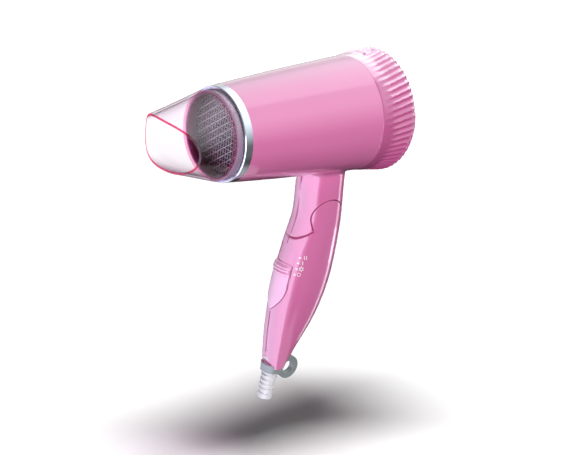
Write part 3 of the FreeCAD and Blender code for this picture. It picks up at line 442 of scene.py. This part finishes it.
def make_fillet():
    """The rounded corner where the neck grows out of the barrel."""
    axis = AXIS_Z / MM

    def corner(u, v):
        middle, depth, half = handle_section(NECK_TOP)
        turn = 2 * math.pi * u
        x, y = power_ring(depth, half, HANDLE_POWER, turn)
        normal = Vector((math.copysign(abs(x / depth) ** (HANDLE_POWER - 1), x) / depth,
                         math.copysign(abs(y / half) ** (HANDLE_POWER - 1), y) / half, 0)).normalized()
        fade = (1 - step_up(x, 8.0, 16.5)) * (0.2 + 0.8 * step_up(x, -17.0, -10.0))
        radius = FILLET_LEAST + FILLET_EXTRA * fade
        x += middle
        centre_x = x + radius * normal.x
        centre_y = y + radius * normal.y
        reach = barrel_radius(min(centre_x, SEAM_X / MM))
        centre_z = axis - math.sqrt((reach + radius) ** 2 - centre_y ** 2)
        if v == 1:
            inside = axis - math.sqrt((reach - 1.0) ** 2 - y * y * 0.8)
            return Vector((x - 0.8 * normal.x, y - 0.8 * normal.y, inside)) * MM
        inward = Vector((-normal.x, -normal.y, 0))
        upward = Vector((0, -centre_y, axis - centre_z)).normalized()
        share = min(1.0, v / 0.9)
        swing = inward.angle(upward)
        lean = (math.sin((1 - share) * swing) * inward + math.sin(share * swing) * upward) / math.sin(swing)
        sink = 0.04 if share in (0.0, 1.0) else 0.0
        return (Vector((centre_x, centre_y, centre_z)) + (radius + sink) * lean) * MM

    bm = surface_grid(120, 10, corner)
    rim = [edge for edge in bm.edges if edge.is_boundary]
    bmesh.ops.bridge_loops(bm, edges=rim)
    bmesh.ops.recalc_face_normals(bm, faces=bm.faces)
    for face in bm.faces:
        face.material_index = 0
    return finish_piece(bm, "neck_fillet", "head", finishes["shell_pink"], (), 50)


make_fillet()


# ------------------------------------------------------------ clear nozzle

NOZZLE_BASE_X = -92.7
NOZZLE_BASE_RADIUS = 31.4
OUTLET_X = -131.6
OUTLET_SWEEP = 67.1
OUTLET_HALF = (32.7, 16.75)
OUTLET_POWER = 2.13
OUTLET_DROP = 0.6
NOZZLE_WALL = 1.6
EDGE_BULGE = 0.35
WALL_START = 0.0397


def make_nozzle():
    """The clear air nozzle: round at its base, flat at its outlet, with a plug that fits the collar."""
    def ruling(turn, inset):
        base = power_ring(NOZZLE_BASE_RADIUS - inset, NOZZLE_BASE_RADIUS - inset, 2, turn)
        rim = power_ring(OUTLET_HALF[0] - inset, OUTLET_HALF[1] - inset, OUTLET_POWER, turn)
        start = Vector((NOZZLE_BASE_X, base[0], base[1]))
        run = Vector((OUTLET_X - 1, rim[0], rim[1] - OUTLET_DROP)) - start
        return start, run

    def end_of(turn, inset):
        start, run = ruling(turn, inset)
        share = 1.0
        for _ in range(8):
            y = start.y + run.y * share
            trim = OUTLET_X + OUTLET_SWEEP - math.sqrt(OUTLET_SWEEP ** 2 - y * y)
            share = (trim - start.x) / run.x
        return share

    wall_rows = 14
    base = NOZZLE_BASE_X
    tail = [(base - 1.6, 30.2), (base - 1.6, 27.0), (base - 1.3, 26.8), (-84.6, 26.8), (-84.3, 27.1),
            (-84.3, 27.9), (-84.6, 28.2), (base, 28.2), (base, 30.75), (-88.8, 30.75), (-88.6, 30.95),
            (-88.6, 31.7), (-88.8, 31.9), (base + 0.4, 31.5)]
    rows = wall_rows + 1 + 3 + wall_rows + len(tail)
    first_tail = 2 * wall_rows + 5

    def place(u, v):
        turn = 2 * math.pi * u
        row = round(v * rows)
        if row <= wall_rows:
            start, run = ruling(turn, 0.0)
            spot = start + run * end_of(turn, 0.0) * (row / wall_rows)
        elif row <= wall_rows + 3:
            share = (row - wall_rows) / 4
            outer, outer_run = ruling(turn, 0.0)
            inner, inner_run = ruling(turn, NOZZLE_WALL)
            a = outer + outer_run * end_of(turn, 0.0)
            b = inner + inner_run * end_of(turn, NOZZLE_WALL)
            spot = a.lerp(b, share)
            spot.x -= EDGE_BULGE * math.sin(math.pi * share)
        elif row <= 2 * wall_rows + 4:
            share = 1 - (row - wall_rows - 4) / wall_rows
            start, run = ruling(turn, NOZZLE_WALL)
            low = WALL_START
            spot = start + run * (low + (end_of(turn, NOZZLE_WALL) - low) * share)
        else:
            x, radius = tail[row - first_tail]
            spot = Vector((x, radius * math.cos(turn), radius * math.sin(turn)))
        return Vector((spot.x, spot.y, spot.z + AXIS_Z / MM)) * MM

    bm = surface_grid(128, rows, place, close_rows=True)
    for face in bm.faces:
        row = face.material_index
        face.material_index = 0
        if wall_rows <= row < wall_rows + 4:
            face.material_index = 1
        elif row in (first_tail, first_tail + 1, first_tail + 2):
            face.material_index = 2
    plastics = [finishes["clear_plastic"], outlet_edge_finish(), plug_edge_finish()]
    return finish_piece(bm, "clear_nozzle", "nozzle", plastics, ["nozzle"], 30)


make_nozzle()


# ------------------------------------------------------------ outlet grille and collar

GRILLE_RIM = (GRILLE_HIGH.z - GRILLE_LOW.z) / 2


def lattice(bm, pitch, half_width, front, back, lean, reach, tone):
    """Straight bars across the outlet at one lean, each cut to the rim."""
    count = int(reach / pitch)
    for index in range(-count, count + 1):
        offset = index * pitch
        half_length = math.sqrt(reach * reach - offset * offset)
        bar = bmesh.ops.create_cube(bm, size=1)["verts"]
        bmesh.ops.scale(bm, verts=bar, vec=(back - front, 2 * half_width, 2 * half_length))
        bmesh.ops.translate(bm, verts=bar, vec=(0, offset, 0))
        bmesh.ops.rotate(bm, verts=bar, cent=(0, 0, 0), matrix=Matrix.Rotation(lean, 3, "X"))
        bmesh.ops.translate(bm, verts=bar, vec=((front + back) / 2, 0, AXIS_Z))
        for face in {face for vert in bar for face in vert.link_faces}:
            face.material_index = tone


def make_grille():
    """The outlet grille: a close row of dark upright bars with finer pale bars across them at a slant."""
    front, back = GRILLE_LOW.x, GRILLE_HIGH.x
    rim = GRILLE_RIM
    bm = turn_profile([(front, rim - 2.0 * MM), (front, rim - 0.2 * MM), (front + 0.2 * MM, rim), (back, rim),
                       (back, rim - 2.0 * MM)], 96, closed=True)
    lattice(bm, 2.7 * MM, 0.42 * MM, front + 0.5 * MM, back, 0.0, rim - 0.5 * MM, 0)
    lattice(bm, 3.0 * MM, 0.3 * MM, front + 0.6 * MM, back - 0.2 * MM, math.radians(90), rim - 0.5 * MM, 0)
    lattice(bm, 4.6 * MM, 0.22 * MM, front + 0.1 * MM, front + 0.7 * MM, math.radians(55), rim - 0.5 * MM, 1)
    return finish_piece(bm, "outlet_grille", "head", [finishes["dark_grille"], finishes["pale_bar"]],
                        ["front_grille"], 40)


def make_collar():
    """The mauve sleeve that carries the nozzle and slides in the trim ring."""
    low, high = COLLAR_LOW.x, COLLAR_HIGH.x
    outer = COLLAR_HIGH.z - AXIS_Z
    bore = outer - 1.8 * MM
    edge = 0.3 * MM
    bm = turn_profile([(low, bore + edge), (low, outer - edge), (low + edge, outer), (high - edge, outer),
                       (high, outer - edge), (high, bore + edge), (high - edge, bore), (low + edge, bore)],
                      96, closed=True)
    return finish_piece(bm, "nozzle_sleeve", "nozzle_collar", finishes["collar_mauve"],
                        ["nozzle_collar"], 50)


make_grille()
make_collar()


# ------------------------------------------------------------ skins on the handle

def face_front(bm):
    """One finish for a sheet, with its faces turned toward the handle's front."""
    for face in bm.faces:
        face.material_index = 0
    if sum((face.normal for face in bm.faces), Vector()).x > 0:
        bmesh.ops.reverse_faces(bm, faces=bm.faces)


def make_skin(name, body, finish, columns, rows, place, thickness):
    """A thin piece that follows the handle's front, its points put by place(u, v)."""
    bm = surface_grid(columns, rows, place, close_columns=False)
    face_front(bm)
    bmesh.ops.solidify(bm, geom=bm.faces, thickness=thickness * MM)
    bmesh.ops.recalc_face_normals(bm, faces=bm.faces)
    return finish_piece(bm, name, body, finishes[finish], (), 40)


# ------------------------------------------------------------ switch slider, in millimetres

SLIDE_ORIGIN = (-22.3, 8.0)
SLIDE_LEAN = math.radians(11)
PLATE_HALF = 8.9
PLATE_TOP = 5.5
PLATE_TIP = -31.2
PLATE_PROUD = 0.8
LEAF_THICKNESS = 1.2
RECESS_TOP = 18.8
RECESS_FOOT = 4.9
RECESS_DEPTH = 0.55
RECESS_CORNER = 2.4
RECESS_GAP = 0.32
LEAF_COLUMNS = 28
LEAF_CORNER = 2.2
LEAF_SHOULDER = -10.0
PARTING_WIDTH = 0.6
PARTING_PROUD = 0.22
TOE_HALF = 8.5
TOE_FOOT = -66.6
TOE_LENGTH = 10.0
TOE_SINK = 0.15
TOE_SWELL = 0.55
LEAF_SIDE = arc_through((LEAF_SHOULDER, PLATE_HALF), (-23.1, 6.6), (PLATE_TIP, 0.0), 24)


def leaf_half_width(along):
    """Half width of the leaf-shaped plate at a distance along its track."""
    if along >= LEAF_SHOULDER:
        corner = max(0.0, along - (PLATE_TOP - LEAF_CORNER)) / LEAF_CORNER
        return PLATE_HALF - LEAF_CORNER * (1 - math.sqrt(max(0.0, 1 - corner * corner)))
    for (z0, w0), (z1, w1) in zip(LEAF_SIDE, LEAF_SIDE[1:]):
        if along >= z1:
            return w0 + (w1 - w0) * (along - z0) / (z1 - z0)
    return 0.0


def on_track(depth, across, along):
    """A point of the slider's own frame, depth counted into the grip."""
    cos, sin = math.cos(SLIDE_LEAN), math.sin(SLIDE_LEAN)
    return Vector((SLIDE_ORIGIN[0] + depth * cos + along * sin, across,
                   SLIDE_ORIGIN[1] - depth * sin + along * cos))


def track_depth(across, along):
    """How far into the grip the handle's own surface lies on the slider's line."""
    depth = 0.0
    for _ in range(6):
        spot = on_track(depth, across, along)
        depth += (handle_front(across, spot.z) - spot.x) / math.cos(SLIDE_LEAN)
    return depth


def ridge_height(across, along):
    """The finger bar across the plate: a scooped ramp, a rounded bar and a low step under it."""
    ramp = step_up(PLATE_TOP - 0.2 - along, 0.0, 3.0) * (1 - step_up(1.6 - along, 0.0, 0.5))
    bar = math.sqrt(max(0.0, 1 - ((along - 0.6) / 1.5) ** 2))
    low_bar = 0.45 * math.sqrt(max(0.0, 1 - ((along + 2.2) / 1.1) ** 2))
    side = 1 - step_up(abs(across), PLATE_HALF - 1.6, PLATE_HALF - 0.1)
    return 1.7 * max(0.62 * ramp, bar, low_bar) * (0.35 + 0.65 * side)


def make_slider():
    """The leaf-shaped slider with its finger bar, in finer rows where the bar is."""
    rows = [PLATE_TIP, -31.0, -30.5]
    rows += [-29.5 + 1.3 * i for i in range(19)]
    rows += [-4.6 + 0.2 * i for i in range(46)]
    rows += [4.6, 4.9, 5.15, 5.35, 5.46, PLATE_TOP]
    last = len(rows) - 1

    def place(u, v):
        along = rows[round(v * last)]
        across = (2 * u - 1) * leaf_half_width(along)
        depth = track_depth(across, along) - PLATE_PROUD - ridge_height(across, along)
        return on_track(depth, across, along) * MM

    bm = surface_grid(LEAF_COLUMNS, last, place, close_columns=False)
    face_front(bm)
    rim = [edge for edge in bm.edges if edge.is_boundary]
    skirt = bmesh.ops.extrude_edge_only(bm, edges=rim)
    lowered = [item for item in skirt["geom"] if isinstance(item, bmesh.types.BMVert)]
    drop = on_track(LEAF_THICKNESS, 0, 0) - on_track(0, 0, 0)
    bmesh.ops.translate(bm, vec=drop * MM, verts=lowered)
    base = [edge for edge in bm.edges if edge.is_boundary]
    bmesh.ops.contextual_create(bm, geom=base)
    bmesh.ops.recalc_face_normals(bm, faces=bm.faces)
    piece = finish_piece(bm, "slider_leaf", "switch_slider", finishes["slider_pink"],
                         ["switch_slider"], 40)
    edge = piece.modifiers.new("soft_edge", "BEVEL")
    edge.width = 0.3 * MM
    edge.segments = 3
    edge.limit_method = "ANGLE"
    edge.angle_limit = math.radians(50)
    return piece


def make_recess_floor():
    """The shallow floor of the slider's recess above the leaf, which the leaf runs over."""
    last = 24
    rows = [RECESS_FOOT + (RECESS_TOP - RECESS_FOOT - 0.05) * index / last for index in range(last + 1)]

    def place(u, v):
        along = rows[round(v * last)]
        corner = max(0.0, along - (RECESS_TOP - RECESS_CORNER)) / RECESS_CORNER
        half = PLATE_HALF + RECESS_GAP - RECESS_CORNER * (1 - math.sqrt(max(0.0, 1 - corner * corner)))
        across = (2 * u - 1) * half
        return on_track(track_depth(across, along) + RECESS_DEPTH, across, along) * MM

    return make_skin("switch_recess", "grip", "shell_pink", LEAF_COLUMNS, last, place, 0.5)


def make_parting_line(name, body, low, high):
    """The fine line where the two moulded halves meet along the handle's front: a dark pink strip laid just
    proud of the surface, painted shade in place of the fine groove.
    """
    steps = max(4, round((high - low) / 1.5))

    def place(u, v):
        z = low + (high - low) * v
        across = (u - 0.5) * PARTING_WIDTH
        return Vector((handle_front(across, z) - PARTING_PROUD, across, z)) * MM

    return make_skin(name, body, "parting_line_shade", 2, steps, place, 0.2)


def make_grip_toe():
    """The slight swell of the grip's front over the cord guard's flange. Its edges sink into the shell."""
    def place(u, v):
        across = (2 * u - 1) * TOE_HALF
        z = TOE_FOOT + TOE_LENGTH * v
        swell = (1 - (2 * u - 1) ** 4) * (1 - (2 * v - 1) ** 4)
        return Vector((handle_front(across, z) + TOE_SINK - TOE_SWELL * swell, across, z)) * MM

    return make_skin("grip_toe", "grip", "shell_pink", 32, 20, place, 0.3)


make_slider()
make_recess_floor()
make_grip_toe()
make_parting_line("neck_parting_line", "head", 34.5, 84.0)
make_parting_line("grip_parting_line", "grip", RECESS_TOP + SLIDE_ORIGIN[1] + 0.6, 31.8)
make_parting_line("grip_end_parting_line", "grip", -69.5, SLIDE_ORIGIN[1] + PLATE_TIP - 1.4)


# ------------------------------------------------------------ switch marks

MARK_LIFT = 0.05
MARK_THICKNESS = 0.04
LONGEST_EDGE = 0.9


def printed(name, bm, x, z):
    """Lays a flat shape, drawn in millimetres about zero, on the handle's left side at a spot."""
    slope = (handle_side(x + 0.2, z) - handle_side(x - 0.2, z)) / 0.4
    stretch = 1 / math.sqrt(1 + slope * slope)
    long_edges = [edge for edge in bm.edges if edge.calc_length() > LONGEST_EDGE]
    bmesh.ops.subdivide_edges(bm, edges=long_edges, cuts=2, use_grid_fill=True)
    for vert in bm.verts:
        spot_x = x + vert.co.x * stretch
        spot_z = z + vert.co.y
        lift = MARK_LIFT + vert.co.z
        spot_y = -handle_side(spot_x, spot_z) - lift * stretch
        vert.co = Vector((spot_x - lift * slope * stretch, spot_y, spot_z)) * MM
    bmesh.ops.recalc_face_normals(bm, faces=bm.faces)
    return finish_piece(bm, name, "grip", finishes["print_white"])


def flat_ring(bm, outer, inner):
    """A flat ring with a little thickness."""
    top = MARK_THICKNESS
    section = ((inner, 0, 0), (outer, 0, 0), (outer, 0, top), (inner, 0, top))
    corners = [bm.verts.new(spot) for spot in section]
    edges = [bm.edges.new(pair) for pair in zip(corners, corners[1:] + corners[:1])]
    bmesh.ops.spin(bm, geom=corners + edges, cent=(0, 0, 0), axis=(0, 0, 1), angle=2 * math.pi, steps=32,
                   use_merge=True)


def flat_dot(bm, half_x, half_y, shift=(0, 0)):
    made = bmesh.ops.create_cone(bm, cap_ends=True, segments=20, radius1=1, radius2=1,
                                 depth=MARK_THICKNESS)["verts"]
    bmesh.ops.scale(bm, verts=made, vec=(half_x, half_y, 1))
    bmesh.ops.translate(bm, verts=made, vec=(shift[0], shift[1], MARK_THICKNESS / 2))


def flat_bar(bm, half_x, half_y, shift=(0, 0)):
    made = bmesh.ops.create_cube(bm, size=2)["verts"]
    bmesh.ops.scale(bm, verts=made, vec=(half_x, half_y, MARK_THICKNESS / 2))
    bmesh.ops.translate(bm, verts=made, vec=(shift[0], shift[1], MARK_THICKNESS / 2))


def make_marks():
    """White marks beside the switch: a dot for each of its four settings, and the setting's sign."""
    dots = ((-13.2, 19.0), (-14.4, 14.9), (-15.4, 10.6), (-16.6, 6.4))
    for number, (x, z) in enumerate(dots, 1):
        bm = bmesh.new()
        flat_dot(bm, 0.95, 0.72)
        printed("setting_dot_%d" % number, bm, x, z)
    bm = bmesh.new()
    for shift in (-0.75, 0.75):
        flat_bar(bm, 0.3, 1.45, (shift, 0))
    printed("sign_high", bm, -9.6, 18.9)
    bm = bmesh.new()
    flat_bar(bm, 0.3, 1.45)
    printed("sign_low", bm, -11.4, 14.9)
    bm = bmesh.new()
    flat_ring(bm, 1.25, 0.8)
    for index in range(6):
        angle = math.radians(60 * index + 30)
        flat_dot(bm, 0.42, 0.42, (1.62 * math.cos(angle), 1.62 * math.sin(angle)))
    printed("sign_cool", bm, -12.2, 10.6)
    bm = bmesh.new()
    flat_ring(bm, 1.5, 1.05)
    printed("sign_off", bm, -13.8, 6.4)


make_marks()


# ------------------------------------------------------------ stage, light and camera

def background_rays(tree):
    """1 for rays that show the background: the camera's, mirrored and seen-through ones."""
    rays = node(tree, "ShaderNodeLightPath")
    total = rays.outputs["Is Camera Ray"]
    for name in ("Is Glossy Ray", "Is Transmission Ray"):
        either = node(tree, "ShaderNodeMath", operation="MAXIMUM")
        tree.links.new(total, either.inputs[0])
        tree.links.new(rays.outputs[name], either.inputs[1])
        total = either.outputs[0]
    return total


FLOOR_Z = -127.0 * MM
FLOOR_HALF = 6.0
FLOOR_BOUNCE = 0.12
FLOOR_GLOW = 0.5
WORLD_LIGHT = 0.10


def stage_sheet(name, place):
    """A flat four-cornered sheet beside the object, its corners put by place(x, y), x and y being -1 or 1."""
    bm = bmesh.new()
    bmesh.ops.create_grid(bm, x_segments=1, y_segments=1, size=1)
    for vert in bm.verts:
        vert.co = place(vert.co.x, vert.co.y)
    mesh = bpy.data.meshes.new(name)
    bm.to_mesh(mesh)
    bm.free()
    sheet = bpy.data.objects.new(name, mesh)
    scene.collection.objects.link(sheet)
    return sheet


def make_floor():
    """The white floor. It keeps the shadow, and returns little light to the object."""
    floor = stage_sheet("floor", lambda x, y: Vector((FLOOR_HALF * x, FLOOR_HALF * y, FLOOR_Z)))
    material, tree, output = blank_material("floor_white")
    link = tree.links.new
    paint = node(tree, "ShaderNodeBsdfDiffuse")
    light_share = node(tree, "ShaderNodeMix", data_type="RGBA")
    light_share.inputs[6].default_value = (FLOOR_BOUNCE, FLOOR_BOUNCE, FLOOR_BOUNCE, 1)
    light_share.inputs[7].default_value = (1.0, 1.0, 1.0, 1)
    link(background_rays(tree), light_share.inputs[0])
    link(light_share.outputs[2], paint.inputs["Color"])
    glow = node(tree, "ShaderNodeEmission")
    glow.inputs["Color"].default_value = (1, 1, 1, 1)
    place = node(tree, "ShaderNodeTexCoord")
    distance = node(tree, "ShaderNodeVectorMath", operation="LENGTH")
    link(place.outputs["Object"], distance.inputs[0])
    far = node(tree, "ShaderNodeMapRange", interpolation_type="SMOOTHSTEP")
    far.inputs["From Min"].default_value = 0.25
    far.inputs["From Max"].default_value = 1.1
    far.inputs["To Max"].default_value = FLOOR_GLOW
    link(distance.outputs["Value"], far.inputs["Value"])
    shown = node(tree, "ShaderNodeMath", operation="MULTIPLY")
    link(far.outputs["Result"], shown.inputs[0])
    link(background_rays(tree), shown.inputs[1])
    link(shown.outputs[0], glow.inputs["Strength"])
    both = node(tree, "ShaderNodeAddShader")
    link(paint.outputs["BSDF"], both.inputs[0])
    link(glow.outputs["Emission"], both.inputs[1])
    link(both.outputs["Shader"], output.inputs["Surface"])
    floor.data.materials.append(material)
    floor.visible_glossy = False
    floor.visible_shadow = False
    return floor


REAR_CARD_REACH = 0.3
REAR_CARD_FOOT = -0.25
REAR_CARD_HEIGHT = 0.26


def reflector(name, corner_a, corner_b, corner_c, level_in, level_out, along, start, end, tint=(1, 1, 1)):
    """A studio card seen only in reflections: its glow runs from one level to another along an axis."""
    origin = Vector(corner_a)
    side = (Vector(corner_b) - origin) / 2
    rise = (Vector(corner_c) - origin) / 2
    card = stage_sheet(name, lambda x, y: origin + side * (x + 1) + rise * (y + 1))
    material, tree, output = blank_material(name)
    place = node(tree, "ShaderNodeTexCoord")
    split = node(tree, "ShaderNodeSeparateXYZ")
    tree.links.new(place.outputs["Object"], split.inputs["Vector"])
    level = node(tree, "ShaderNodeMapRange", interpolation_type="SMOOTHSTEP")
    level.inputs["From Min"].default_value = start
    level.inputs["From Max"].default_value = end
    level.inputs["To Min"].default_value = level_in
    level.inputs["To Max"].default_value = level_out
    tree.links.new(split.outputs[along], level.inputs["Value"])
    paint = node(tree, "ShaderNodeEmission")
    paint.inputs["Color"].default_value = (*tint, 1)
    tree.links.new(level.outputs["Result"], paint.inputs["Strength"])
    tree.links.new(paint.outputs["Emission"], output.inputs["Surface"])
    card.data.materials.append(material)
    for ray in ("camera", "diffuse", "shadow", "transmission", "volume_scatter"):
        setattr(card, "visible_" + ray, False)
    return card


def make_reflectors():
    """The cards: corner, next corner, third corner, levels, the axis they change along, from, to, tint."""
    low = FLOOR_Z + 0.4 * MM
    top = AXIS_Z + 0.5
    reflector("floor_card", (0.06, -0.9, low), (1.4, -0.9, low), (0.06, 0.2, low),
              0.35, 0.03, "Y", -0.38, -0.12)
    reflector("rear_floor_card", (0.08, 0.2, low), (1.4, 0.2, low), (0.08, 1.4, low),
              0.03, 0.03, "Y", 0.0, 1.0)
    reflector("roof_card", (-0.2, -0.2, top), (1.6, -0.2, top), (-0.2, 1.25, top),
              4.7, 1.5, "Y", -0.1, 1.0, (0.94, 0.94, 1.0))
    reflector("far_card", (0.3, 1.25, -0.35), (3.0, 1.25, -0.35), (0.3, 1.25, top),
              0.5, 1.4, "Z", -0.35, 0.5)
    reflector("window_card", (-0.1, -0.9, -0.5), (3.5, -0.9, -0.5), (-0.1, -0.9, 4.0),
              0.0, 3.3, "Z", -0.4, 1.0, (0.92, 0.95, 1.0))
    reflector("front_card", (-0.25, -0.74, -0.9), (-0.7, 0.7, -0.9), (-0.25, -0.74, 0.15),
              7.0, 6.2, "Y", 0.0, 0.7, (0.80, 0.78, 1.0))
    reflector("left_card", (-0.7, 0.7, -0.6), (0.12, 0.75, -0.6), (-0.7, 0.7, 0.15),
              4.0, 1.0, "X", -0.6, 0.1, (0.85, 0.80, 1.0))
    near, far = (Vector((REAR_CARD_REACH * math.cos(turn), REAR_CARD_REACH * math.sin(turn), REAR_CARD_FOOT))
                 for turn in (math.radians(-21), math.radians(-9)))
    reflector("rear_card", near, far, near + Vector((0, 0, REAR_CARD_HEIGHT)),
              3.5, 3.5, "Z", 0.0, 1.0, (0.95, 0.88, 1.0))


def make_world():
    world = bpy.data.worlds.new("studio")
    scene.world = world
    world.use_nodes = True
    tree = world.node_tree
    tree.nodes.clear()
    link = tree.links.new
    output = tree.nodes.new("ShaderNodeOutputWorld")
    level = node(tree, "ShaderNodeMapRange")
    level.inputs["To Min"].default_value = WORLD_LIGHT
    level.inputs["To Max"].default_value = 1.0
    link(background_rays(tree), level.inputs["Value"])
    light = node(tree, "ShaderNodeBackground")
    light.inputs["Color"].default_value = (1, 1, 1, 1)
    link(level.outputs["Result"], light.inputs["Strength"])
    link(light.outputs["Background"], output.inputs["Surface"])


def lamp_holder(name, shape, width, height, energy):
    """An area lamp, unplaced, with the collection of the pieces that it lights."""
    lamp = bpy.data.lights.new(name, "AREA")
    lamp.shape = shape
    lamp.size = width
    lamp.size_y = height
    lamp.energy = energy
    holder = bpy.data.objects.new(name, lamp)
    scene.collection.objects.link(holder)
    holder.visible_transmission = False
    lit = bpy.data.collections.new(name + "_lit")
    holder.light_linking.receiver_collection = lit
    return holder, lit


def faced_lamp(name, centre, target, width, height, radiance):
    """A rectangular lamp of an even brightness that faces a point."""
    holder, lit = lamp_holder(name, "RECTANGLE", width, height, radiance * math.pi * width * height)
    holder.location = centre
    facing = Vector(centre) - Vector(target)
    holder.rotation_euler = facing.to_track_quat("Z", "Y").to_euler()
    return holder, lit


def softbox(name, centre, target, width, height, radiance, floor):
    """A soft lamp that lights all but the floor."""
    holder, lit = faced_lamp(name, centre, target, width, height, radiance)
    holder.visible_glossy = False
    lit.objects.link(floor)
    lit.collection_objects[0].light_linking.link_state = "EXCLUDE"


def gloss_lamp(name, centre, target, width, height, radiance, lit_parts):
    """A lamp that only shows as a reflection, and only in the pieces named."""
    holder, lit = faced_lamp(name, centre, target, width, height, radiance)
    holder.data.color = (0.95, 0.92, 1.0)
    holder.visible_camera = False
    holder.visible_diffuse = False
    for part in lit_parts:
        lit.objects.link(part)


def floor_lamp(floor):
    """The lamp over the floor alone, which draws the object's soft shadow there."""
    holder, lit = lamp_holder("floor_lamp", "ELLIPSE", 1.0, 0.3, 47.0)
    holder.location = (-0.16, -0.09, 2.0)
    holder.rotation_euler = (0, 0, math.radians(-34))
    holder.visible_glossy = False
    lit.objects.link(floor)


def make_lights(floor):
    """Lamps that shape light and shadow: place, point faced, width, height and brightness of each."""
    softbox("top_lamp", (-0.13, 0.6, 1.9), (-0.03, 0.0, 0.1), 0.5, 0.5, 4.2, floor)
    softbox("key_lamp", (0.16, -1.20, 0.60), (0, 0, 0.05), 0.9, 0.9, 5.3, floor)
    softbox("front_fill", (-1.15, -0.22, 0.0), (0, 0, 0.0), 0.6, 0.6, 4.2, floor)
    softbox("back_fill", (0.9, 0.9, 0.4), (0, 0, 0.05), 0.8, 0.8, 0.8, floor)
    cover = [bpy.data.objects["ribbed_cover"]]
    gloss_lamp("cover_shine", (0.4, 0.47, AXIS_Z + 0.48), (0.4, 0.47, 0), 1.2, 1.2, 3.4, cover)
    grips = [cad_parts["grip_left"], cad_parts["grip_right"]]
    gloss_lamp("grip_back_shine", (0.088, -0.026, -0.06), (0, -0.026, -0.06), 0.02, 0.13, 3.4, grips)
    floor_lamp(floor)


def make_camera():
    camera = bpy.data.cameras.new("camera")
    camera.lens = 103.292
    camera.sensor_width = 36.0
    camera.clip_start = 0.05
    holder = bpy.data.objects.new("camera", camera)
    scene.collection.objects.link(holder)
    holder.location = (-0.70349, -0.81099, 0.47837)
    holder.rotation_euler = Euler([math.radians(a) for a in (67.4238, -4.9966, -37.85)], "XYZ")
    scene.camera = holder


floor = make_floor()
make_reflectors()
make_world()
make_lights(floor)
make_camera()
scene.view_settings.view_transform = "Standard"
